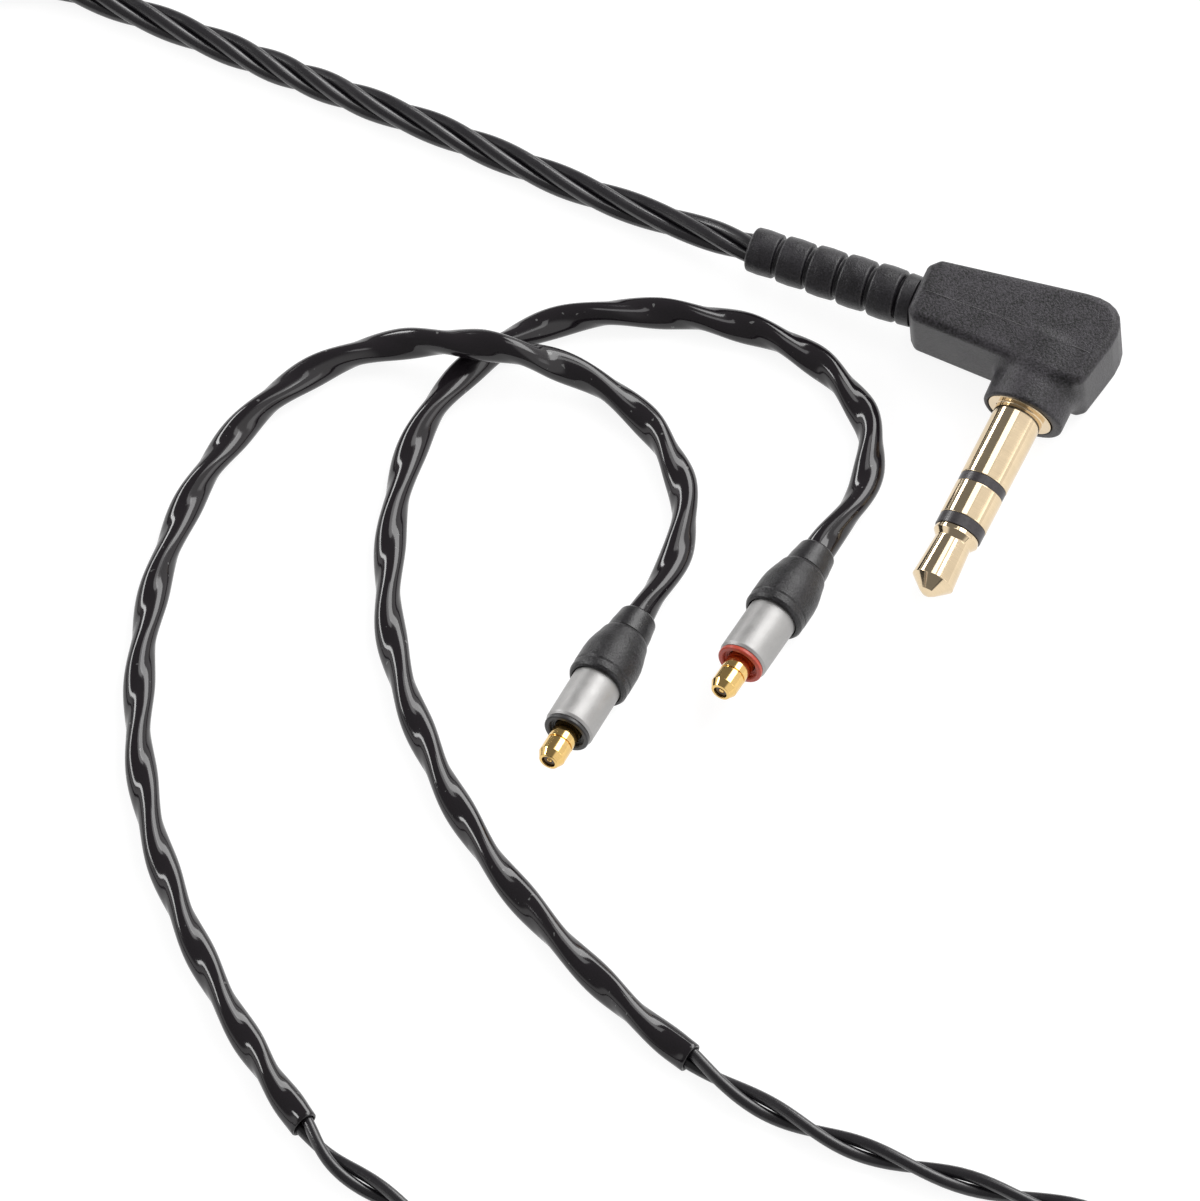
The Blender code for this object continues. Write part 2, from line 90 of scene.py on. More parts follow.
def spots(nt, scale, detail=3.0, rough=0.5, stretch=None):
    """Noise over the piece itself, scale in features per metre."""
    co = nt.nodes.new("ShaderNodeTexCoord")
    src = co.outputs["Object"]
    if stretch:
        mp = nt.nodes.new("ShaderNodeMapping")
        mp.inputs["Scale"].default_value = stretch
        nt.links.new(src, mp.inputs["Vector"])
        src = mp.outputs["Vector"]
    n = node(nt, "ShaderNodeTexNoise", Scale=scale, Detail=detail, Roughness=rough)
    nt.links.new(src, n.inputs["Vector"])
    return n


def bump(nt, shader, height, strength, distance):
    b = node(nt, "ShaderNodeBump", Strength=strength, Distance=distance)
    nt.links.new(height, b.inputs["Height"])
    nt.links.new(b.outputs["Normal"], shader.inputs["Normal"])
    return b


def layered(nt, a, b, factor=0.5):
    m = node(nt, "ShaderNodeMix", data_type='FLOAT')
    m.inputs[0].default_value = factor
    nt.links.new(a, m.inputs[2])
    nt.links.new(b, m.inputs[3])
    return m.outputs[0]


def plastic(name, rgb, rough, grain_mm, grain, spread=0.08, specular=0.5, cloud_mm=2.2, coat=0.0):
    """Moulded plastic or rubber: spark-eroded grain, uneven gloss, slight colour drift."""
    m, nt, p = new_material(name)
    p.inputs["Specular IOR Level"].default_value = specular
    p.inputs["Coat Weight"].default_value = coat
    p.inputs["Coat Roughness"].default_value = 0.12
    fine = spots(nt, 1000 / grain_mm, 3.0, 0.62)
    cloud = spots(nt, 1000 / cloud_mm, 3.0, 0.55)
    lo = tuple(c * (1 - 2.2 * spread) for c in rgb)
    hi = tuple(c * (1 + 2.2 * spread) + 0.002 for c in rgb)
    tone = ramp(nt, layered(nt, cloud.outputs["Fac"], fine.outputs["Fac"], 0.72), [(0.40, lo), (0.60, hi)])
    nt.links.new(tone.outputs[0], p.inputs["Base Color"])
    gloss = ramp(nt, layered(nt, cloud.outputs["Fac"], fine.outputs["Fac"], 0.35),
                 [(0.3, rough - 0.06), (0.7, rough + 0.06)])
    nt.links.new(gloss.outputs[0], p.inputs["Roughness"])
    bump(nt, p, fine.outputs["Fac"], grain, grain_mm * 0.35 * MM)
    return m


def metal(name, rgb, rough, brush_mm, brush, axis=None, spread=0.03, pits=0.0):
    """Plated or anodised turned metal. axis: direction of the turning marks' axis, in the row frame."""
    m, nt, p = new_material(name)
    p.inputs["Metallic"].default_value = 1.0
    co = nt.nodes.new("ShaderNodeTexCoord")
    source = co.outputs["Object"]
    if axis is not None:
        # distance along the axis drives the fine turning marks
        dot = node(nt, "ShaderNodeVectorMath", operation='DOT_PRODUCT')
        dot.inputs[1].default_value = tuple(axis)
        nt.links.new(source, dot.inputs[0])
        comb = nt.nodes.new("ShaderNodeCombineXYZ")
        nt.links.new(dot.outputs["Value"], comb.inputs[0])
        mix = node(nt, "ShaderNodeVectorMath", operation='MULTIPLY_ADD')
        mix.inputs[1].default_value = (0.03, 0.03, 0.03)
        nt.links.new(source, mix.inputs[0])
        nt.links.new(comb.outputs[0], mix.inputs[2])
        source = mix.outputs[0]
    n = node(nt, "ShaderNodeTexNoise", Scale=1000 / brush_mm, Detail=4.0, Roughness=0.6)
    nt.links.new(source, n.inputs["Vector"])
    cloud = spots(nt, 900, 3.0, 0.55)
    lo = tuple(c * (1 - 2 * spread) for c in rgb)
    hi = tuple(min(1.0, c * (1 + 2 * spread)) for c in rgb)
    tone = ramp(nt, layered(nt, cloud.outputs["Fac"], n.outputs["Fac"], 0.5), [(0.35, lo), (0.65, hi)])
    nt.links.new(tone.outputs[0], p.inputs["Base Color"])
    gloss = ramp(nt, layered(nt, n.outputs["Fac"], cloud.outputs["Fac"], 0.4),
                 [(0.3, max(0.02, rough * 0.72)), (0.7, rough * 1.3)])
    nt.links.new(gloss.outputs[0], p.inputs["Roughness"])
    bump(nt, p, n.outputs["Fac"], brush, brush_mm * 0.2 * MM)
    return m


def jacket(name, rgb, rough, sheen_rough=0.02, grain=0.06, specular=0.5, smear=0.05, dust=0.0):
    """Extruded cord jacket or tube: smooth skin, soft uneven gloss, a few specks of dust."""
    m, nt, p = new_material(name)
    p.inputs["Specular IOR Level"].default_value = specular
    fine = spots(nt, 14000, 2.0, 0.5)
    cloud = spots(nt, 420, 4.0, 0.6)
    gloss = ramp(nt, cloud.outputs["Fac"], [(0.32, max(0.02, rough - smear)), (0.68, rough + smear)])
    nt.links.new(gloss.outputs[0], p.inputs["Roughness"])
    tone = ramp(nt, fine.outputs["Fac"], [(0.3, tuple(c * 0.8 for c in rgb)), (0.75, tuple(c * 1.25 for c in rgb))])
    if dust:
        speck = spots(nt, 2600, 0.0, 0.0)
        mask = ramp(nt, speck.outputs["Fac"], [(0.80, 0.0), (0.84, 1.0)])
        mix = node(nt, "ShaderNodeMix", data_type='RGBA')
        nt.links.new(mask.outputs[0], mix.inputs[0])
        nt.links.new(tone.outputs[0], mix.inputs[6])
        mix.inputs[7].default_value = (dust, dust, dust, 1)
        nt.links.new(mix.outputs[2], p.inputs["Base Color"])
    else:
        nt.links.new(tone.outputs[0], p.inputs["Base Color"])
    bump(nt, p, fine.outputs["Fac"], grain, 0.012 * MM)
    return m


def webbing(name, rgb):
    """Hook-and-loop strap: short pile."""
    m, nt, p = new_material(name)
    p.inputs["Roughness"].default_value = 0.92
    p.inputs["Sheen Weight"].default_value = 0.35
    p.inputs["Sheen Roughness"].default_value = 0.5
    co = nt.nodes.new("ShaderNodeTexCoord")
    v = node(nt, "ShaderNodeTexVoronoi", Scale=4200.0)
    nt.links.new(co.outputs["Object"], v.inputs["Vector"])
    tone = ramp(nt, v.outputs["Distance"], [(0.0, tuple(c * 1.9 for c in rgb)), (0.7, tuple(c * 0.4 for c in rgb))])
    nt.links.new(tone.outputs[0], p.inputs["Base Color"])
    bump(nt, p, v.outputs["Distance"], 0.7, 0.08 * MM)
    return m


# =====================================================================  geometry kit
def piece(name, verts, faces, material, body=CABLE, slot=None, replaces=(), sharp=None):
    """A mesh in layout millimetres, made into a piece of the object."""
    me = bpy.data.meshes.new(name)
    me.from_pydata(row(verts).tolist(), [], faces if isinstance(faces, list) else faces.tolist())
    me.validate()
    me.shade_smooth()
    if sharp:
        me.set_sharp_from_angle(angle=math.radians(sharp))
    me.materials.append(material)
    o = bpy.data.objects.new(name, me)
    bpy.context.scene.collection.objects.link(o)
    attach(o, body)
    if replaces:
        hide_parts(*replaces)
    return o


def loft_faces(rings, sides, start=0, caps=True, closed=False):
    i = np.arange(rings - (0 if closed else 1))[:, None]
    j = np.arange(sides)[None, :]
    i2, j2 = (i + 1) % rings, (j + 1) % sides
    q = np.stack([i * sides + j, i * sides + j2 + 0 * i, i2 * sides + j2, i2 * sides + j], -1)
    faces = (q.reshape(-1, 4) + start).tolist()
    if caps:
        faces.append([start + k for k in range(sides)][::-1])
        faces.append([start + (rings - 1) * sides + k for k in range(sides)])
    return faces


def joined(parts):
    """Several (verts, faces) into one."""
    verts, faces, n = [], [], 0
    for v, f in parts:
        verts.append(np.asarray(v, float))
        faces += [[k + n for k in face] for face in f]
        n += len(v)
    return np.concatenate(verts), faces


def fillet(profile):
    """profile: (radius, height, corner radius) -> plain (radius, height) chain with rounded corners."""
    p = [np.array(q[:2], float) for q in profile]
    r = [q[2] if len(q) > 2 else 0.0 for q in profile]
    closed = not (p[0][0] == 0 and p[-1][0] == 0)
    out = []
    n = len(p)
    for k in range(n):
        if r[k] <= 0 or (not closed and k in (0, n - 1)):
            out.append(p[k])
            continue
        a, b, c = p[k - 1], p[k], p[(k + 1) % n]
        u, v = unit(a - b), unit(c - b)
        ang = math.acos(max(-1, min(1, float(u @ v))))
        if ang > math.radians(176):
            out.append(b)
            continue
        t = min(r[k] / math.tan(ang / 2), 0.49 * np.linalg.norm(a - b), 0.49 * np.linalg.norm(c - b))
        rad = t * math.tan(ang / 2)
        mid = b + unit(u + v) * rad / math.sin(ang / 2)
        s, e = b + u * t, b + v * t
        a0 = math.atan2(*(s - mid)[::-1])
        a1 = math.atan2(*(e - mid)[::-1])
        d = (a1 - a0 + math.pi) % TAU - math.pi
        steps = max(3, int(abs(d) / 0.2))
        for q in range(steps + 1):
            w = a0 + d * q / steps
            out.append(mid + rad * np.array([math.cos(w), math.sin(w)]))
    held = []                                  # keep long flats flat beside their rounded corners
    for k, a in enumerate(out):
        held.append(a)
        if not closed and k == n_last(out):
            break
        b = out[(k + 1) % len(out)]
        gap = np.linalg.norm(b - a)
        if gap > 0.12:
            held += [a + (b - a) * 0.025 / gap, b - (b - a) * 0.025 / gap]
    return held, closed


def n_last(chain):
    return len(chain) - 1


def revolve(profile, at, ax, ay, az, segs=96):
    """Solid of revolution about az through at. Returns verts in layout mm and faces."""
    chain, closed = fillet(profile)
    a = np.arange(segs) * TAU / segs
    verts, faces, rows_ = [], [], []
    for r, h in chain:
        if r < 1e-9:
            rows_.append([len(verts)])
            verts.append(at + az * h)
        else:
            k = len(verts)
            rows_.append(list(range(k, k + segs)))
            verts.extend(at + az * h + r * (np.cos(a)[:, None] * ax + np.sin(a)[:, None] * ay))
    pairs = list(zip(rows_, rows_[1:])) + ([(rows_[-1], rows_[0])] if closed else [])
    for p, q in pairs:
        for k in range(segs):
            n = (k + 1) % segs
            f = []
            for v in (p[k % len(p)], p[n % len(p)], q[n % len(q)], q[k % len(q)]):
                if v not in f:
                    f.append(v)
            if len(f) > 2:
                faces.append(f)
    verts = np.array(verts)
    if signed_volume(verts, faces) < 0:
        faces = [f[::-1] for f in faces]
    return verts, faces


def signed_volume(verts, faces):
    t = []
    for f in faces:
        for k in range(1, len(f) - 1):
            t.append((f[0], f[k], f[k + 1]))
    t = np.array(t)
    c = verts.mean(0)
    a, b, d = verts[t[:, 0]] - c, verts[t[:, 1]] - c, verts[t[:, 2]] - c
    return float((a * np.cross(b, d)).sum() / 6)


def surface_net(field, low, high, step):
    """Closed quad mesh of field = 0, with its vertices pulled onto the surface."""
    lo = np.array(low, float)
    n = np.ceil((np.array(high) - lo) / step).astype(int) + 1
    ax = [lo[k] + step * np.arange(n[k]) for k in range(3)]
    F = np.empty(n)
    Y, Z = np.meshgrid(ax[1], ax[2], indexing='ij')
    for k, x in enumerate(ax[0]):
        F[k] = field(np.stack([np.full(Y.size, x), Y.ravel(), Z.ravel()], 1)).reshape(n[1], n[2])
    cells = n - 1
    acc, cnt = np.zeros((*cells, 3)), np.zeros(cells)
    edges = []
    for a in range(3):
        s0, s1 = [slice(None)] * 3, [slice(None)] * 3
        s0[a], s1[a] = slice(0, -1), slice(1, None)
        A, B = F[tuple(s0)], F[tuple(s1)]
        cross = (A < 0) != (B < 0)
        idx = np.argwhere(cross)
        pos = idx.astype(float)
        pos[:, a] += A[cross] / (A[cross] - B[cross])
        b, c = (a + 1) % 3, (a + 2) % 3
        ring = []
        for db, dc in ((-1, -1), (0, -1), (0, 0), (-1, 0)):
            cell = idx.copy()
            cell[:, b] += db
            cell[:, c] += dc
            ring.append(cell)
            np.add.at(acc, tuple(cell.T), pos)
            np.add.at(cnt, tuple(cell.T), 1)
        edges.append((ring, A[cross] < 0))
    used = cnt > 0
    ids = np.full(cells, -1)
    ids[used] = np.arange(used.sum())
    V = lo + step * (acc[used] / cnt[used][:, None])
    quads = []
    for ring, inside in edges:
        q = np.stack([ids[tuple(c.T)] for c in ring], 1)
        quads.append(np.where(inside[:, None], q, q[:, ::-1]))
    quads = np.concatenate(quads)
    e = step * 0.08
    for _ in range(4):
        d = field(V)
        g = np.stack([(field(V + e * k) - field(V - e * k)) / (2 * e) for k in np.eye(3)], 1)
        move = g * (d / np.maximum((g * g).sum(1), 0.05))[:, None]
        size = np.linalg.norm(move, axis=1, keepdims=True)
        V = V - move * np.minimum(1, 0.5 * step / np.maximum(size, 1e-9))
    return V, quads


def half_planes(poly):
    """Outward normals and offsets of a convex polygon given counter-clockwise."""
    p = np.array(poly, float)
    d = np.roll(p, -1, 0) - p
    nrm = unit(np.stack([d[:, 1], -d[:, 0]], 1))
    return nrm, (nrm * p).sum(1)


def inset(poly, r):
    """Convex polygon moved in by r."""
    nrm, off = half_planes(poly)
    big = np.array([(-99., -99.), (99., -99.), (99., 99.), (-99., 99.)])
    for a, c in zip(nrm, off - r):
        out = []
        for k in range(len(big)):
            p, q = big[k], big[(k + 1) % len(big)]
            dp, dq = a @ p - c, a @ q - c
            if dp <= 0:
                out.append(p)
            if (dp < 0) != (dq < 0):
                out.append(p + (q - p) * dp / (dp - dq))
        big = np.array(out)
    return big


def sd_polygon(x, y, poly):
    """Signed distance to a convex polygon, counter-clockwise."""
    p = np.stack([x, y], 1)
    best = np.full(len(p), 1e9)
    for k in range(len(poly)):
        a, b = poly[k], poly[(k + 1) % len(poly)]
        e = b - a
        w = p - a
        t = np.clip((w @ e) / max(e @ e, 1e-12), 0, 1)
        best = np.minimum(best, np.linalg.norm(w - t[:, None] * e, axis=1))
    nrm, off = half_planes(poly)
    inside = (p @ nrm.T - off).max(1) < 0
    return np.where(inside, -best, best)


def rounded(*q, r):
    """Rounded intersection of several distances, each already moved in by r."""
    s = sum(np.maximum(k, 0) ** 2 for k in q)
    return np.sqrt(s) + np.minimum(np.maximum.reduce(q), 0) - r


def smooth_union(a, b, k):
    h = np.clip(0.5 + 0.5 * (b - a) / k, 0, 1)
    return b * (1 - h) + a * h - k * h * (1 - h)


def smooth_cut(a, b, k):
    """a without b, with the rim rounded by k."""
    return -smooth_union(-a, b, k)


# =====================================================================  routes
def catmull(points, per=24):
    p = np.array(points, float)
    p = np.vstack([2 * p[0] - p[1], p, 2 * p[-1] - p[-2]])
    out = []
    for k in range(1, len(p) - 2):
        a, b, c, d = p[k - 1:k + 3]
        t1 = np.linalg.norm(b - a) ** 0.5
        t2 = t1 + np.linalg.norm(c - b) ** 0.5
        t3 = t2 + np.linalg.norm(d - c) ** 0.5
        t = (t1 + (t2 - t1) * np.arange(per) / per)[:, None]
        a1 = a * (t1 - t) / t1 + b * t / t1
        a2 = b * (t2 - t) / (t2 - t1) + c * (t - t1) / (t2 - t1)
        a3 = c * (t3 - t) / (t3 - t2) + d * (t - t2) / (t3 - t2)
        b1 = a1 * (t2 - t) / t2 + a2 * t / t2
        b2 = a2 * (t3 - t) / (t3 - t1) + a3 * (t - t1) / (t3 - t1)
        out.append(b1 * (t2 - t) / (t2 - t1) + b2 * (t - t1) / (t2 - t1))
    return np.vstack(out + [p[-2:-1]])


class Route:
    """A smooth line with arc length, tangent, level side vector and upright."""

    def __init__(self, points, soften=1.2):
        fine = catmull(points)
        s = np.r_[0, np.cumsum(np.linalg.norm(np.diff(fine, axis=0), axis=1))]
        self.length = float(s[-1])
        n = int(self.length / 0.1) + 1
        self.s = np.linspace(0, self.length, n)
        p = np.stack([np.interp(self.s, s, fine[:, k]) for k in range(3)], 1)
        w = int(soften / 0.1)
        if w:                              # even out the curvature between waypoints
            k = np.hanning(2 * w + 3)[1:-1]
            k /= k.sum()
            pad = np.vstack([2 * p[0] - p[w:0:-1], p, 2 * p[-1] - p[-2:-w - 2:-1]])
            p = np.stack([np.convolve(pad[:, c], k, 'valid') for c in range(3)], 1)
        self.p = p
        t = unit(np.gradient(p, axis=0))
        side = unit(np.cross([0, 0, 1.0], t))
        self.t, self.n, self.b = t, side, np.cross(t, side)

    def at(self, s):
        def f(a):
            return np.stack([np.interp(s, self.s, a[:, k]) for k in range(3)], 1)
        return f(self.p), unit(f(self.t)), unit(f(self.n)), unit(f(self.b))

    def nearest(self, xy):
        d = np.hypot(self.p[:, 0] - xy[0], self.p[:, 1] - xy[1])
        return float(self.s[int(np.argmin(d))])


SIGHT = np.array([0.0, -math.cos(math.radians(61)), math.sin(math.radians(61))])


def twist(route, wide, step, lay, start_index=0):
    """Lay of the strands as an angle along the route. wide: places where the bundle shows its
    broad side to the viewer; between neighbours it turns by step. Beyond them it keeps its lay."""
    s = sorted(route.nearest(q) for q in wide)
    at, t, n, b = route.at(np.array(s))
    e = unit(np.cross(SIGHT, t))
    face = np.arctan2((e * b).sum(1), (e * n).sum(1))
    face = np.unwrap(face)
    phase = face + step * np.arange(len(s))
    rate = step / lay
    knots = np.r_[0.0, s, route.length]
    values = np.r_[phase[0] - rate * s[0], phase, phase[-1] + rate * (route.length - s[-1])]
    ang = np.interp(route.s, knots, values)
    w = 18
    k = np.hanning(2 * w + 3)[1:-1]
    k /= k.sum()
    pad = np.r_[2 * ang[0] - ang[w:0:-1], ang, 2 * ang[-1] - ang[-2:-w - 2:-1]]
    return np.convolve(pad, k, 'valid')


def stations(route, spans):
    """Ring positions: spans are (start, end, step)."""
    out = []
    for a, b, step in spans:
        n = max(2, int(round((b - a) / step)) + 1)
        out.append(np.linspace(a, b, n)[:-1])
    out.append([spans[-1][1]])
    return np.concatenate(out)


def strand(route, s, phase, offset, r, sides):
    """One round core laid round the route."""
    c, t, n, b = route.at(s)
    ph = np.interp(s, route.s, phase)[:, None]
    line = c + offset * (np.cos(ph) * n + np.sin(ph) * b)
    tt = unit(np.gradient(line, s, axis=0))
    nn = unit(np.cross([0, 0, 1.0], tt))
    bb = np.cross(tt, nn)
    a = np.arange(sides) * TAU / sides
    ring = line[:, None, :] + r * (np.cos(a)[None, :, None] * nn[:, None, :] + np.sin(a)[None, :, None] * bb[:, None, :])
    return ring.reshape(-1, 3), loft_faces(len(s), sides)


def laps(at, turn_in, turns, layers, per=36):
    """Wound coil: layers gives (radius, height) for each turn, with a short cross-over between turns."""
    out = []
    m = int(turns * per)
    for k in range(m + 1):
        tau = turns * k / m
        i = min(int(tau), len(layers) - 1)
        r, z = layers[i]
        f = tau - i
        if f > 0.875 and i + 1 < len(layers):
            w = (f - 0.875) / 0.25
            (r2, z2) = layers[i + 1]
        elif f < 0.125 and i > 0:
            w = (0.125 - f) / 0.25
            (r2, z2) = layers[i - 1]
        else:
            w, r2, z2 = 0.0, r, z
        w = w * w * (3 - 2 * w)
        a = math.radians(turn_in) + TAU * tau
        rr, zz = r + (r2 - r) * w, z + (z2 - z) * w
        out.append((at[0] + rr * math.cos(a), at[1] + rr * math.sin(a), zz))
    return out


# ---------------------------------------------------------------- plug placing
PLUG_AT = np.array([31.2, 17.6, 3.41])
yaw, roll = math.radians(23.8), math.radians(5.5)
U = np.array([math.cos(yaw), -math.sin(yaw), 0.0])
V = np.array([-math.sin(yaw) * math.cos(roll), -math.cos(yaw) * math.cos(roll), -math.sin(roll)])
W = np.cross(V, U)


def at_plug(u, v, w):
    return PLUG_AT + U * u + V * v + W * w


LEAN = math.radians(2.0)
JACK_V = unit(V * math.cos(LEAN) - U * math.sin(LEAN))     # the contact stack leans a little in its seat
JACK_AT = PLUG_AT + (JACK_V - V) * 0.5
RELIEF_AT = at_plug(-10.0, 0, 0)
S = unit(np.array([-0.9185, 0.3878, -0.0775]))


# ---------------------------------------------------------------- connector placing
def connector_axis(lip, yaw_deg):
    a, b = math.radians(yaw_deg), math.radians(8.0)
    d = np.array([math.cos(b) * math.cos(a), math.cos(b) * math.sin(a), math.sin(b)])
    return np.array(lip) - d * 6.55, d


left_start, left_d = connector_axis((-0.254, -8.097, 2.53), 243.3)
right_start, right_d = connector_axis((11.86, -2.79, 2.53), 240.9)

# ---------------------------------------------------------------- the routes themselves
TRUNK_OUT = [at_plug(-8.2, 0, 0), RELIEF_AT + S * 1.0, RELIEF_AT + S * 7.0,
             RELIEF_AT + S * 12.8, (4.5, 29.4, 1.4), (-0.8, 31.75, 1.12),
             (-6.1, 34.25, 1.12), (-11.35, 36.75, 1.12), (-16.6, 39.05, 1.12),
             (-21.9, 41.4, 1.12), (-27.2, 43.8, 1.12), (-32.5, 46.2, 1.12), (-38.3, 48.5, 1.12),
             (-42.2, 48.6, 1.12), (-45.1, 46.4, 1.12),
             (-46.4, 42.3, 1.12), (-46.6, 36.0, 1.12), (-46.5, 20.0, 1.12), (-46.4, 0.0, 1.12),
             (-46.4, -20.0, 1.12), (-46.5, -40.0, 1.12), (-46.6, -53.0, 1.12), (-46.5, -60.5, 1.12),
             (-46.3, -66.0, 1.15)]
TRUNK_LAPS = laps((-29.5, -73.0), 180.0, 7.194,
                  [(16.65, 1.25), (14.35, 1.25), (12.05, 1.25), (9.75, 1.25),
                   (9.75, 3.46), (12.05, 3.46), (14.35, 3.46), (16.65, 3.46)])
TRUNK_IN = [(-31.3, -91.15, 3.05), (-28.7, -92.95, 2.75), (-27.3, -93.8, 2.45), (-25.8, -94.35, 2.2),
            (-23.6, -94.6, 2.2), (-20.5, -94.6, 2.2)]

LEFT_LOWER = [(-14.5, -93.25, 2.2), (-8.0, -93.25, 2.2), (0.0, -93.25, 2.2), (10.0, -93.25, 2.2),
              (14.8, -93.25, 2.2), (18.2, -92.5, 1.8), (21.4, -90.4, 1.3), (23.8, -86.5, 1.02),
              (24.5, -82.0, 1.0), (24.1, -78.0, 1.05)]
LEFT_LAPS = laps((11.0, -72.0), 0.0, 3.208, [(12.0, 1.1), (10.0, 1.1), (10.0, 2.98), (12.0, 2.98)])
LEFT_UPPER = [(6.9, -57.95, 2.1), (2.5, -56.4, 1.5), (-3.0, -54.2, 1.05), (-9.0, -51.0, 0.97),
              (-14.1, -47.6, 0.97), (-18.3, -44.55, 0.99)]
LEFT_HOOK = [(-20.35, -41.7, 1.12), (-22.75, -37.8, 1.12), (-25.0, -33.7, 1.12), (-27.05, -29.45, 1.12),
             (-28.85, -25.05, 1.12), (-30.35, -20.5, 1.12), (-31.35, -15.85, 1.12), (-31.8, -11.1, 1.12),
             (-31.7, -6.3, 1.12), (-31.1, -1.5, 1.12), (-29.9, 3.2, 1.12), (-28.15, 7.65, 1.12),
             (-25.8, 11.65, 1.12), (-22.9, 15.1, 1.12), (-19.35, 17.75, 1.12), (-15.4, 19.3, 1.2),
             (-11.25, 19.1, 2.4), (-7.0, 18.0, 3.55), (-2.9, 17.4, 2.2), (0.85, 15.8, 1.2),
             (3.9, 12.55, 1.12), (5.7, 8.25, 1.12), (5.45, 3.5, 1.12),
             left_start - left_d * 0.9, left_start, left_start + left_d * 1.9]

RIGHT_LOWER = [(-14.5, -95.95, 2.2), (-8.0, -95.95, 2.2), (0.0, -95.95, 2.2), (10.0, -95.95, 2.2),
               (14.8, -95.95, 2.2), (18.0, -96.1, 1.9), (22.0, -96.0, 1.4), (28.2, -94.4, 1.02),
               (33.0, -91.2, 1.0), (37.0, -87.4, 1.0), (40.1, -84.3, 1.02)]
RIGHT_LAPS = laps((38.2, -70.0), -45.0, 3.194, [(11.4, 1.1), (9.4, 1.1), (9.4, 2.98), (11.4, 2.98)])
RIGHT_UPPER = [(48.2, -60.4, 2.3), (46.6, -57.0, 1.7), (42.0, -52.2, 1.1), (36.0, -49.4, 0.97),
               (30.0, -47.7, 0.97), (25.0, -46.1, 0.97), (20.0, -44.4, 0.97), (15.4, -42.5, 0.97),
               (11.5, -40.4, 0.98), (8.1, -38.1, 1.0)]
RIGHT_HOOK = [(6.2, -36.55, 1.12), (4.6, -35.15, 1.12), (1.35, -32.0, 1.12), (-1.7, -28.6, 1.12),
              (-4.65, -25.0, 1.12), (-7.35, -21.2, 1.12), (-9.7, -17.1, 1.12), (-11.65, -12.8, 1.12),
              (-13.3, -8.2, 1.12), (-14.4, -3.45, 1.12), (-14.6, 1.4, 1.12), (-14.2, 6.25, 1.12),
              (-13.1, 11.0, 1.12), (-11.05, 15.25, 1.12), (-7.9, 18.7, 1.12), (-4.2, 20.95, 1.12),
              (-0.05, 22.05, 1.12), (4.2, 22.1, 1.12), (8.5, 21.4, 1.12), (12.6, 19.9, 1.12),
              (16.1, 17.25, 1.12), (18.55, 13.2, 1.12), (18.3, 8.5, 1.12),
              right_start - right_d * 0.9, right_start, right_start + right_d * 1.9]

# where each bundle turns its broad side to the viewer
TRUNK_WIDE = [(7.9, 28.4), (2.2, 30.5), (-2.7, 32.6), (-7.2, 34.8), (-11.3, 36.8), (-15.7, 38.8),
              (-19.2, 40.2), (-22.4, 41.7), (-25.7, 43.1)]
LEFT_WIDE = [(5.3, 2.9), (5.5, 9.0), (3.2, 13.6), (-2.6, 17.4), (-8.1, 18.3), (-13.5, 19.5), (-19.9, 17.4),
             (-25.2, 12.5), (-28.5, 6.8), (-30.8, -0.3), (-31.8, -7.3), (-31.6, -14.4), (-30.0, -21.7),
             (-27.5, -28.5), (-24.2, -35.1), (-21.2, -40.2)]
RIGHT_WIDE = [(18.5, 9.4), (18.0, 14.4), (15.0, 18.3), (10.0, 20.9), (4.1, 22.1), (-3.2, 21.4), (-9.2, 17.6),
              (-12.9, 11.3), (-14.5, 3.7), (-14.4, -3.6), (-12.5, -10.6), (-9.6, -17.1), (-5.5, -23.9),
              (-0.2, -30.3), (5.0, -35.5), (11.4, -40.5), (18.0, -43.6)]

# =====================================================================  camera
LENS = 1650.0
cam = bpy.data.cameras.new("camera")
cam.lens, cam.sensor_width = LENS, 36.0
cam.clip_start, cam.clip_end = 1.0, 40.0
camera = bpy.data.objects.new("camera", cam)
bpy.context.scene.collection.objects.link(camera)
aim = Vector(row((0.0, 0.0, 0.0)))
back = Vector(SIGHT)
camera.location = aim + back * (82.89 * MM * LENS / 36.0)
camera.rotation_mode = 'QUATERNION'
camera.rotation_quaternion = (-back).to_track_quat('-Z', 'Y')
bpy.context.scene.camera = camera

# =====================================================================  finishes
M_BODY = plastic("moulded_body", (0.020, 0.018, 0.0215), 0.43, 0.15, 1.0, spread=0.44, specular=0.42)
M_RELIEF = plastic("moulded_relief", (0.012, 0.0108, 0.0132), 0.34, 0.12, 0.8, spread=0.26, specular=0.45)
M_BOOT = plastic("boot_rubber", (0.010, 0.0092, 0.0106), 0.34, 0.14, 0.9, spread=0.42, specular=0.42)
M_COLLAR = plastic("collar_plastic", (0.010, 0.0094, 0.0106), 0.30, 0.12, 0.5, spread=0.2, specular=0.45)
M_BAND = plastic("band_plastic", (0.030, 0.026, 0.029), 0.33, 0.16, 0.10)
M_RED = plastic("red_ring", (0.42, 0.050, 0.026), 0.38, 0.12, 0.16, spread=0.05)
M_BLACKRING = plastic("black_ring", (0.022, 0.021, 0.022), 0.34, 0.12, 0.18)
M_CORE = plastic("pin_insulator_brown", (0.085, 0.055, 0.032), 0.30, 0.12, 0.18)
M_GOLD = metal("pale_gold_plate", (0.74, 0.595, 0.40), 0.085, 0.05, 0.02, axis=JACK_V)
M_GOLD_L = metal("warm_gold_left", (0.78, 0.53, 0.20), 0.10, 0.05, 0.015, axis=left_d)
M_GOLD_R = metal("warm_gold_right", (0.78, 0.53, 0.20), 0.10, 0.05, 0.015, axis=right_d)
M_ALU = metal("anodised_sleeve", (0.36, 0.355, 0.35), 0.50, 0.09, 0.45, spread=0.05)
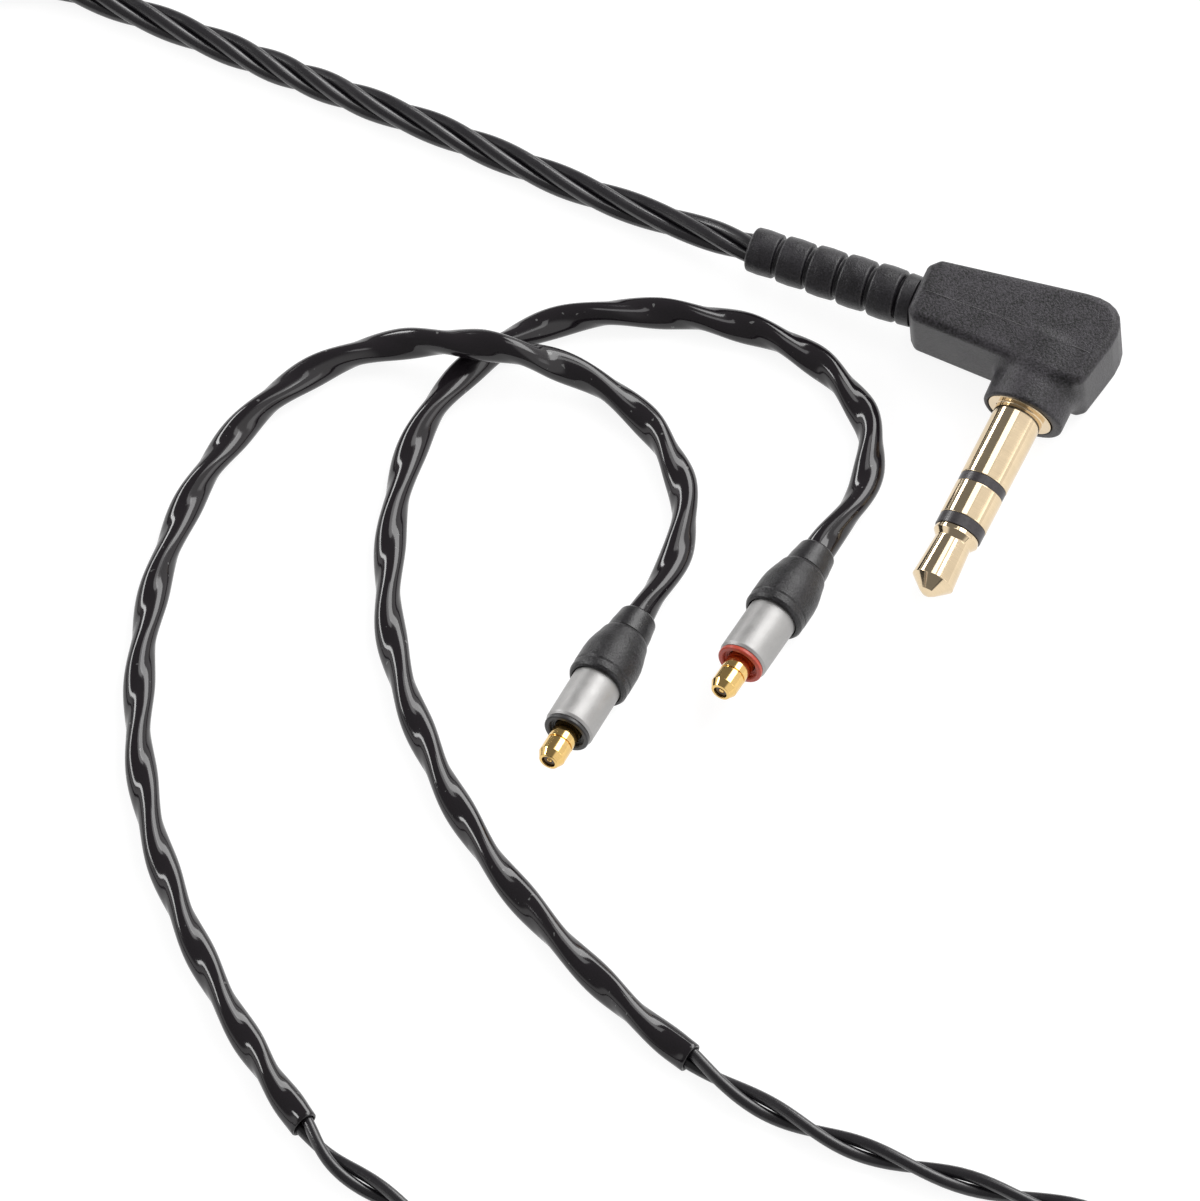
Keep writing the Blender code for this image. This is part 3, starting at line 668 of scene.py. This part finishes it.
M_ALU.node_tree.nodes["Principled BSDF"].inputs["Metallic"].default_value = 0.75
# mould parting line: the ridge itself is real geometry, but its grey tone, about five times lighter than the body, is
# a painted highlight for the light that thin ridge catches
M_FLASH_PAINTED_HIGHLIGHT = plastic("flash_line", (0.10, 0.097, 0.10), 0.40, 0.08, 0.2, spread=0.2)
M_BRASS = metal("plain_brass", (0.72, 0.55, 0.25), 0.30, 0.06, 0.05)
M_TRUNK = jacket("trunk_jacket", (0.011, 0.0098, 0.0122), 0.27, smear=0.06, grain=0.2, specular=0.75)
M_PAIR = jacket("pair_jacket", (0.011, 0.0098, 0.0122), 0.27, smear=0.06, grain=0.2, specular=0.65)
M_TUBE = jacket("ear_tube", (0.0090, 0.0072, 0.0090), 0.11, smear=0.035, grain=0.06, dust=0.10)
M_WIRE = jacket("wire_black", (0.01, 0.01, 0.011), 0.3)
M_WIRE_RED = jacket("wire_red", (0.40, 0.03, 0.02), 0.3)
M_NATURAL = plastic("natural_plastic", (0.72, 0.70, 0.64), 0.45, 0.2, 0.1, spread=0.02)
M_STRAP = webbing("strap_pile", (0.012, 0.012, 0.013))

# =====================================================================  cords
R_TRUNK, O_TRUNK = 0.465, 0.65
R_PAIR, O_PAIR = 0.44, 0.46

trunk = Route(TRUNK_OUT + TRUNK_LAPS + TRUNK_IN)
trunk_phase = twist(trunk, TRUNK_WIDE, math.pi / 2, 4.6)
seen = trunk.nearest((-40.0, 49.2))
s_trunk = stations(trunk, [(0, seen, 0.32), (seen, trunk.length, 0.75)])
parts = [strand(trunk, s_trunk, trunk_phase + k * math.pi / 2, O_TRUNK, R_TRUNK, 14) for k in range(4)]
trunk_cord = piece("trunk_cord", *joined(parts), M_TRUNK, slot="cord_jacket",
                   replaces=("trunk_lead", "trunk_coil", "trunk_tail"))


def section(k, a, b, groove):
    """Flattened tube section over two cores, with a shallow valley between them."""
    th = np.arange(k) * TAU / k
    c, s = np.cos(th), np.sin(th)
    x = a * c
    y = b * s * (1 - groove * np.exp(-(c / 0.45) ** 2))
    return x, y


def hook_tube(route, phase, s, sides=48, wall=0.17):
    """Heat-shrunk tube that follows the turning pair. Open at its far end."""
    c, t, n, b = route.at(s)
    ph = np.interp(s, route.s, phase)[:, None]
    e1 = np.cos(ph) * n + np.sin(ph) * b
    e2 = np.cross(t, e1)
    x, y = section(sides, 1.11, 0.885, 0.055)
    xi, yi = section(sides, 1.11 - wall, 0.885 - wall, 0.055)
    # the lip at the open end is cut square and very slightly belled
    d = s - s[0]
    bell = 1 + 0.035 * np.exp(-(d / 0.5) ** 2)
    outer = c[:, None, :] + bell[:, None, None] * (x[None, :, None] * e1[:, None, :] + y[None, :, None] * e2[:, None, :])
    inner = c[:, None, :] + bell[:, None, None] * (xi[None, :, None] * e1[:, None, :] + yi[None, :, None] * e2[:, None, :])
    # round the lip with one ring pushed in and half way through the wall
    lip_o = outer[:1] * 0.75 + inner[:1] * 0.25 - 0.05 * t[:1, None, :]
    lip_i = outer[:1] * 0.25 + inner[:1] * 0.75 - 0.05 * t[:1, None, :]
    end_o = outer[-1:] * 0.8 + inner[-1:] * 0.2 + 0.04 * t[-1:, None, :]
    rings = np.concatenate([inner[::-3][::-1][::-1], lip_i, lip_o, outer, end_o])
    n_r = len(rings)
    return rings.reshape(-1, 3), loft_faces(n_r, sides, caps=False, closed=True)


def leg(side, lower, lap, upper, hook, wide, tube_material):
    route = Route(lower + lap + upper + hook)
    phase = twist(route, wide, math.pi, 7.6)
    s0 = route.nearest(hook[0][:2])
    bare = route.nearest(upper[-4][:2])
    s = stations(route, [(0, bare, 0.8), (bare, s0 + 4, 0.35), (s0 + 4, route.length - 3, 0.8),
                         (route.length - 3, route.length, 0.4)])
    cores = [strand(route, s, phase + k * math.pi, O_PAIR, R_PAIR, 14) for k in range(2)]
    cord = piece(side + "_leg_cord", *joined(cores), M_PAIR, slot="cord_jacket",
                 replaces=tuple(side + "_leg_" + k for k in ("upper", "coil", "lower")))
    st = np.arange(s0, route.length - 0.9, 0.27)
    v, f = hook_tube(route, phase, st)
    if signed_volume(v, f) < 0:
        f = [q[::-1] for q in f]
    tube = piece(side + "_hook_tube", v, f, tube_material, slot="ear_hook_tube",
                 replaces=(side + "_ear_hook",))
    return route, phase, s, cord, tube


left_route, left_phase, s_left, left_cord, left_tube = leg(
    "left", LEFT_LOWER, LEFT_LAPS, LEFT_UPPER, LEFT_HOOK, LEFT_WIDE, M_TUBE)
right_route, right_phase, s_right, right_cord, right_tube = leg(
    "right", RIGHT_LOWER, RIGHT_LAPS, RIGHT_UPPER, RIGHT_HOOK, RIGHT_WIDE, M_TUBE)


def strap(name, at, angle, r0, r1, top, width, material):
    """Hook-and-loop tie round the wound bundle at one place of the coil."""
    a = math.radians(angle)
    out = np.array([math.cos(a), math.sin(a), 0.0])
    along = np.array([-math.sin(a), math.cos(a), 0.0])
    t = 0.12

    def loop(grow):
        x0, x1, z0, z1 = r0 - grow, r1 + grow, 0.125 - grow, top + grow
        c = 0.9 + grow
        pts = []
        for cx, cz, a0 in ((x1 - c, z1 - c, 0), (x0 + c, z1 - c, 90), (x0 + c, z0 + c, 180), (x1 - c, z0 + c, 270)):
            for k in range(9):
                w = math.radians(a0 + 90 * k / 8)
                pts.append((cx + c * math.cos(w), cz + c * math.sin(w)))
        return np.array(pts)

    inner, outer = loop(0.005), loop(t)
    cols = np.array([-0.5, -0.46, -0.2, 0.2, 0.46, 0.5]) * width
    rings = []
    for k, w in enumerate(cols):
        e = 0.5 if k in (0, len(cols) - 1) else 1.0
        rings.append(inner + (outer - inner) * e)
    rings_in = [inner + (outer - inner) * (0.5 if k in (0, len(cols) - 1) else 0.0) for k in range(len(cols))]
    allr, w_all = rings + rings_in[::-1][1:-1], list(cols) + list(cols[::-1][1:-1])
    centre = np.array([at[0], at[1], 0.0])
    verts = np.concatenate([centre + q[:, :1] * out + q[:, 1:] * np.array([0, 0, 1.0]) + w * along
                            for q, w in zip(allr, w_all)])
    f = loft_faces(len(allr), len(inner), caps=False, closed=True)
    # the free tail, lapped over the outside
    q = outer[:7]
    tail = []
    for lift, inset_ in ((0.02, 0.0), (t, 0.0)):
        nrm = unit(np.stack([q[:, 0] - (r1 - 0.9), q[:, 1] - (top - 0.9)], 1))
        tail.append(q + nrm * lift)
    grid = []
    for side_w in (-0.46 * width, 0.46 * width):
        for tl in tail:
            ext = np.vstack([tl[:1] + [0, -2.0], tl[:1] + [0, -1.0], tl])
            grid.append(centre + ext[:, :1] * out + ext[:, 1:] * np.array([0, 0, 1.0]) + side_w * along)
    m = len(grid[0])
    tv = np.concatenate([grid[0], grid[1], grid[3], grid[2]])
    tf = []
    for a_, b_ in ((0, 1), (1, 2), (2, 3), (3, 0)):
        tf += [[a_ * m + k, b_ * m + k, b_ * m + k + 1, a_ * m + k + 1] for k in range(m - 1)]
    tf += [[0, 3 * m, 2 * m, m], [m - 1, 2 * m - 1, 3 * m - 1, 4 * m - 1]]
    if signed_volume(verts, f) < 0:
        f = [x[::-1] for x in f]
    if signed_volume(tv, tf) < 0:
        tf = [x[::-1] for x in tf]
    v, f = joined([(verts, f), (tv, tf)])
    return piece(name, v, f, material, slot="cord_jacket", sharp=50)


trunk_tie = strap("trunk_coil_tie", (-29.5, -73.0), 35.0, 8.55, 17.85, 4.62, 4.5, M_STRAP)
left_tie = strap("left_coil_tie", (11.0, -72.0), 215.0, 8.95, 13.05, 3.95, 3.5, M_STRAP)
right_tie = strap("right_coil_tie", (38.2, -70.0), 135.0, 8.35, 12.45, 3.95, 3.5, M_STRAP)

row(trunk.at(s_trunk)[0]).tolist()
row(left_route.at(s_left)[0]).tolist()
row(right_route.at(s_right)[0]).tolist()
print("lengths mm: trunk %.1f left %.1f right %.1f" % (trunk.length, left_route.length, right_route.length))

# =====================================================================  jack plug
OUTLINE = [(-10.0, 1.75), (-9.4, 2.35), (2.9, 2.65), (3.45, 2.2), (4.15, -1.2)]
for k in range(1, 7):
    t_ = k / 7
    q_ = (np.array([4.15, -1.2]) * (1 - t_) ** 2 + np.array([4.55, -4.65]) * 2 * t_ * (1 - t_)
          + np.array([1.0, -4.15]) * t_ * t_)
    OUTLINE.append(tuple(q_))
OUTLINE += [(1.0, -4.15), (-9.3, -2.55), (-10.0, -1.8)]
OUTLINE = OUTLINE[::-1]                       # counter-clockwise
EDGE = 0.6
CORE = inset(OUTLINE, EDGE)


def plug_field(p):
    u, v, w = p[:, 0], p[:, 1], p[:, 2]
    d2 = sd_polygon(u, v, CORE)
    body = rounded(d2, np.abs(w) - (3.0 - EDGE - 0.016 * np.abs(v)), r=EDGE)
    rr = np.hypot(u, w)
    boss = rounded(rr - (2.95 - 0.2 + 0.012 * (5.1 - v)), np.abs(v - 2.55) - (2.55 - 0.2), r=0.2)
    d = smooth_union(body, boss, 0.75)
    along = (v + 0.5) * math.cos(LEAN) - u * math.sin(LEAN) - 0.5
    across = np.hypot(u * math.cos(LEAN) + (v + 0.5) * math.sin(LEAN), w)
    seat = np.maximum(across - 2.44, 4.68 - along)
    bore = np.maximum(across - 1.95, 0.5 - along)
    room = np.maximum.reduce([np.abs(u + 3.0) - 5.6, np.abs(v + 0.2) - 1.7, np.abs(w) - 1.9])
    entry = np.maximum(np.hypot(v, w) - 1.7, u + 7.0)
    d = smooth_cut(d, seat, 0.06)
    return np.maximum.reduce([d, -bore, -room, -entry])


v_, q_ = surface_net(plug_field, (-10.6, -5.6, -3.5), (5.2, 5.6, 3.5), 0.125)
v_ = PLUG_AT + v_[:, :1] * U + v_[:, 1:2] * V + v_[:, 2:] * W
if np.linalg.det(np.stack([U, V, W])) < 0:
    q_ = q_[:, ::-1]
plug_body = piece("plug_body", v_, q_, M_BODY, slot="moulded_black", replaces=("plug_overmould",))


def flash_line(name, pts, r, material):
    """Thin witness line left by the two halves of a mould, standing a hair proud of the skin."""
    line = catmull(pts, 10)
    t = unit(np.gradient(line, axis=0))
    n = unit(np.cross(t, W))
    b = np.cross(t, n)
    a = np.arange(6) * TAU / 6
    ring = line[:, None, :] + r * (np.cos(a)[None, :, None] * n[:, None, :] + np.sin(a)[None, :, None] * b[:, None, :])
    return piece(name, ring.reshape(-1, 3), loft_faces(len(line), 6), material, slot="moulded_black")


top = 3.0 - 0.016 * 0.6 + 0.004
flash_line("flash_top", [at_plug(u, v, w) for u, v, w in (
    (-10.03, 0.1, 0.6), (-9.99, 0.11, 1.7), (-9.83, 0.12, 2.55), (-9.35, 0.13, top), (-7.0, 0.06, top),
    (-4.0, -0.03, top), (-1.5, 0.02, top), (1.0, 0.06, top), (3.0, 0.1, top), (3.6, 0.12, 2.8),
    (3.82, 0.13, 2.3), (3.86, 0.13, 0.5))], 0.022, M_FLASH_PAINTED_HIGHLIGHT)

# relief: five beads on a tapered core
profile = [(1.3, -1.1), (1.55, -1.1), (1.55, 0.1, 0.02), (1.80, 0.1, 0.12), (1.86, 1.05, 0.2), (1.47, 1.3, 0.1)]
for k in range(5):
    mid, big = 2.33 + 2.3 * k, 1.93 - 0.075 * k
    neck = 1.46 - 0.045 * k
    profile += [(neck, mid - 1.0, 0.08), (big - 0.05, mid - 0.98, 0.26), (big, mid + 0.1, 2.0),
                (big - 0.05, mid + 0.98, 0.26), (neck - 0.01, mid + 1.0, 0.08)]
profile = profile[:-1] + [(1.22, 12.55, 0.1), (1.22, 0.5, 0.0)]
xr = unit(np.cross([0, 0, 1.0], S))
relief = piece("relief", *revolve(profile, RELIEF_AT, xr, np.cross(S, xr), S, 112), M_RELIEF, sharp=50,
               slot="moulded_black", replaces=("strain_relief",))

jack = dict(at=JACK_AT, ax=W, ay=np.cross(JACK_V, W), az=JACK_V)
FRONT = 5.12
turned = [
    ("jack_shoulder_sleeve", [(1.30, 1.9), (1.85, 1.9), (1.85, FRONT - 0.34), (2.385, FRONT - 0.34, 0.03),
                              (2.385, FRONT, 0.07), (1.80, FRONT, 0.05), (1.75, FRONT + 0.06, 0.04),
                              (1.75, 10.84, 0.05), (1.30, 10.84)], M_GOLD, "pale_gold", "jack_sleeve"),
    ("jack_rear_band", [(0.95, 1.2), (1.25, 1.2), (1.25, 10.85), (1.715, 10.85, 0.03), (1.715, 11.54, 0.03),
                        (0.95, 11.54)], M_BAND, "moulded_black", "rear_insulator"),
    ("jack_ring", [(0.60, 0.4), (0.90, 0.4), (0.90, 11.55), (1.75, 11.55, 0.05), (1.75, 14.15, 0.05),
                   (0.60, 14.15)], M_GOLD, "pale_gold", "ring_contact"),
    ("jack_front_band", [(0.40, -0.2), (0.55, -0.2), (0.55, 14.16), (1.715, 14.16, 0.03), (1.715, 15.02, 0.03),
                         (0.40, 15.02)], M_BAND, "moulded_black", "front_insulator"),
    ("jack_tip", [(0, -0.9), (0.35, -0.9), (0.35, 15.03), (1.62, 15.03, 0.04), (1.66, 15.36, 0.06),
                  (1.31, 15.8, 0.12), (1.54, 19.0, 0.05), (0.62, 19.85, 0.08), (0.30, 20.06, 0.1), (0, 20.1)],
     M_GOLD, "pale_gold", "tip_contact"),
]
for name, prof, mat, slot_, old in turned:
    piece(name, *revolve(prof, segs=128, **jack), mat, slot=slot_, replaces=(old,), sharp=28)


# =====================================================================  ear connectors
def connector(side, start, d, ring, gold):
    x = unit(np.cross([0, 0, 1.0], d))
    g = dict(at=start, ax=x, ay=np.cross(d, x), az=d, segs=96)
    rows_ = [
        ("neck", [(1.2, 0.03), (1.28, 0.0, 0.03), (1.37, 0.14, 0.1), (1.45, 0.7, 0.5), (1.53, 1.2, 0.5),
                  (1.585, 1.94, 0.04), (1.2, 1.95)], M_COLLAR, "black_collar", "neck_collar"),
        ("boot", [(1.0, 2.0), (1.64, 2.0, 0.06), (1.76, 2.25, 0.15), (1.88, 2.75, 0.8), (2.02, 3.25, 0.8),
                  (2.14, 3.8, 0.8), (2.195, 4.4, 0.8), (2.205, 5.64, 0.1), (2.155, 5.78, 0.07),
                  (2.19, 5.92, 0.1), (2.19, 6.3, 0.15), (2.06, 6.54, 0.12), (1.88, 6.57, 0.05),
                  (1.83, 6.45, 0.05), (1.83, 5.3), (1.0, 5.3)],
         M_BOOT, "moulded_black", "boot"),
        ("barrel", [(1.5, 5.4), (1.78, 5.4, 0.02), (1.78, 10.70, 0.14), (1.66, 10.9, 0.03), (1.5, 10.9)],
         M_ALU, "sleeve_aluminium", "sleeve"),
        ("key_ring", [(1.04, 9.4), (1.44, 9.4), (1.44, 10.93), (1.64, 10.93, 0.02), (1.68, 11.0, 0.04),
                      (1.68, 11.2, 0.06), (1.60, 11.26, 0.04), (1.38, 11.26, 0.04), (1.30, 11.16, 0.03),
                      (1.30, 10.95, 0.02), (1.15, 10.95, 0.02), (1.15, 10.85, 0.02), (1.04, 10.85)],
         ring, "red_collar" if side == "right" else "black_collar", "collar_ring"),
        ("pin", [(0.5, 8.9), (0.97, 8.9), (0.97, 12.23, 0.02), (0.87, 12.25, 0.01), (0.87, 12.34, 0.01),
                 (0.97, 12.36, 0.02), (0.97, 13.46, 0.08), (0.70, 13.97, 0.04), (0.5, 14.0, 0.02)],
         gold, "warm_gold", "pin_shell"),
        ("pin_core", [(0.22, 8.7), (0.45, 8.7), (0.45, 13.82, 0.03), (0.22, 13.82, 0.02)],
         M_CORE, "moulded_black", "pin_insulator"),
        ("pin_contact", [(0, 8.0), (0.19, 8.0), (0.19, 13.84, 0.06), (0, 13.9)], gold, "warm_gold",
         "centre_contact"),
    ]
    for part, prof, mat, slot_, old in rows_:
        piece("%s_%s_trim" % (side, part), *revolve(prof, **g), mat, slot=slot_,
              replaces=("%s_%s" % (side, old),), sharp=28)


connector("left", left_start, left_d, M_BLACKRING, M_GOLD_L)
connector("right", right_start, right_d, M_RED, M_GOLD_R)


# =====================================================================  Y-split and chin slider
def split_half_width(x):
    xs = np.array([-24.5, -24.0, -22.5, -21.0, -19.5, -18.0, -16.5, -15.0, -13.0, -11.3, -10.5])
    ws = np.array([1.95, 2.05, 2.08, 2.15, 2.45, 2.9, 3.27, 3.5, 3.6, 3.6, 3.5])
    return np.interp(x, xs, ws)


def split_field(p):
    x, y, z = p[:, 0], p[:, 1] + 94.6, p[:, 2]
    r = 0.7
    hw = (split_half_width(x - 0.4) + split_half_width(x) + split_half_width(x + 0.4)) / 3
    d = rounded(np.abs(y) - (hw - r), np.abs(x + 17.5) - (7.0 - r), np.abs(z - 2.2) - (2.2 - r), r=r)
    ribs = sum(np.exp(-((x + c) / 0.16) ** 2) for c in (23.6, 22.9, 22.2, 21.5))
    d = d + 0.16 * ribs
    trunk_way = np.maximum(np.hypot(y, z - 2.2) - 1.35, x + 19.5)
    ways = np.minimum(np.hypot(y - 1.35, z - 2.2), np.hypot(y + 1.35, z - 2.2)) - 1.15
    ways = np.maximum(ways, -x - 15.5)
    room = np.maximum.reduce([np.abs(x + 17.0) - 3.6, np.abs(y) - 2.35, np.abs(z - 2.2) - 1.2])
    d = smooth_cut(d, np.minimum(trunk_way, ways), 0.1)
    return np.maximum(d, -room)


low_box, high_box = (-25.0, -99.0, -0.4), (-10.0, -90.2, 4.8)
for name, half, old in (("split_shell_low", lambda p: smooth_cut(split_field(p), 2.15 - p[:, 2], 0.08), "ysplit_lower_shell"),
                        ("split_shell_top", lambda p: smooth_cut(split_field(p), p[:, 2] - 2.25, 0.08), "ysplit_upper_shell")):
    v_, q_ = surface_net(half, low_box, high_box, 0.16)
    piece(name, v_, q_, M_BODY, slot="moulded_black", replaces=(old,))


def slider_field(p):
    x, y, z = p[:, 0], p[:, 1] + 94.6, p[:, 2]
    r = 0.62
    hw = 3.1 - 0.9 * np.clip((np.abs(x) - 2.7) / 1.05, 0, 1) ** 2
    d = rounded(np.abs(y) - (hw - r), np.abs(x) - (3.75 - r), np.abs(z - 2.2) - (2.18 - r), r=r)
    grip = sum(np.exp(-((x - c) / 0.2) ** 2) for c in (-1.5, -0.75, 0.0, 0.75, 1.5))
    d = d + 0.13 * grip
    ways = np.minimum(np.hypot(y - 1.35, z - 2.2), np.hypot(y + 1.35, z - 2.2)) - 1.26
    return smooth_cut(d, ways, 0.12)


v_, q_ = surface_net(slider_field, (-4.2, -98.3, -0.4), (4.2, -90.9, 4.8), 0.14)
piece("chin_bead", v_, q_, M_BODY, body=SLIDER, slot="moulded_black", replaces=("chin_slider",))

# =====================================================================  CAD nodes that stay
for name in ("sleeve_solder_tag", "ring_solder_tag", "crimp_ferrule", "left_return_wire", "right_return_wire",
             "left_inner_crimp", "right_inner_crimp", "left_signal_wire", "right_signal_wire",
             "ysplit_splice_block"):
    mat = {"left_signal_wire": M_WIRE, "right_signal_wire": M_WIRE_RED,
           "ysplit_splice_block": M_NATURAL}.get(name, M_BRASS)
    me = NODES[name].data
    me.materials.clear()
    me.materials.append(mat)

# =====================================================================  floor and light
half = 3.0
me = bpy.data.meshes.new("table")
me.from_pydata([(-half, -half, 0), (half, -half, 0), (half, half, 0), (-half, half, 0)], [], [(0, 1, 2, 3)])
floor = bpy.data.objects.new("table", me)
bpy.context.scene.collection.objects.link(floor)
floor.location.z = -0.00002
m_floor, nt_floor, p_floor = new_material("table_white")
p_floor.inputs["Base Color"].default_value = (0.20, 0.20, 0.20, 1)
p_floor.inputs["Roughness"].default_value = 0.7
p_floor.inputs["Specular IOR Level"].default_value = 0.2
p_floor.inputs["Emission Color"].default_value = (1, 1, 1, 1)
p_floor.inputs["Emission Strength"].default_value = 0.87
me.materials.append(m_floor)


def softbox(name, at, direction, distance, width, height, radiance, colour=(1, 1, 1)):
    light = bpy.data.lights.new(name, 'AREA')
    light.shape, light.size, light.size_y = 'RECTANGLE', width, height
    light.energy = radiance * math.pi * width * height
    light.color = colour
    o = bpy.data.objects.new(name, light)
    bpy.context.scene.collection.objects.link(o)
    d = Vector(direction).normalized()
    o.location = at + d * distance
    y = (Vector((0, 1, 0)) - d * d.y).normalized()
    x = y.cross(d)
    o.rotation_mode = 'QUATERNION'
    o.rotation_quaternion = Matrix((x, y, d)).transposed().to_quaternion()
    return o


centre = Vector(row((-8.0, 2.0, 0.0)))
plug = Vector(row((28.0, 9.0, 3.0)))
softbox("left_back", centre, (-0.76, 0.485, 0.44), 0.75, 0.15, 0.80, 10.0)
softbox("right_back", centre, (0.51, 0.58, 0.63), 0.75, 0.36, 0.72, 5.2)
softbox("right_side", centre, (0.86, -0.30, 0.42), 0.8, 0.34, 0.36, 1.3)
softbox("over_plug", plug, (0.04, 0.29, 0.955), 0.16, 0.060, 0.05, 2.2)

world = bpy.data.worlds.new("studio")
world.use_nodes = True
wt = world.node_tree
sky = wt.nodes["Background"]
# dim room, white wall to the right, low white surround to the left
co = wt.nodes.new("ShaderNodeTexCoord")
split = wt.nodes.new("ShaderNodeSeparateXYZ")
wt.links.new(co.outputs["Generated"], split.inputs[0])


def between(source, low, high, low_to=0.0, high_to=1.0):
    m = wt.nodes.new("ShaderNodeMapRange")
    m.interpolation_type = 'SMOOTHSTEP'
    for k, value in zip(("From Min", "From Max", "To Min", "To Max"), (low, high, low_to, high_to)):
        m.inputs[k].default_value = value
    wt.links.new(source, m.inputs["Value"])
    return m.outputs["Result"]


def combine(kind, a, b):
    m = node(wt, "ShaderNodeMath", operation=kind)
    for k, v in enumerate((a, b)):
        if isinstance(v, float):
            m.inputs[k].default_value = v
        else:
            wt.links.new(v, m.inputs[k])
    return m.outputs[0]


right_wall = between(split.outputs["X"], 0.12, 0.34)
left_wall = combine('MULTIPLY', between(split.outputs["X"], -0.74, -0.86, 0.0, 1.0),
                    between(split.outputs["Z"], 0.45, 0.25, 0.0, 1.0))
level = combine('ADD', combine('MULTIPLY', combine('MAXIMUM', right_wall, left_wall), 0.80), 0.24)
wt.links.new(level, sky.inputs["Strength"])
sky.inputs["Color"].default_value = (1.0, 0.99, 0.985, 1)
bpy.context.scene.world = world
bpy.context.scene.view_settings.view_transform = 'Standard'
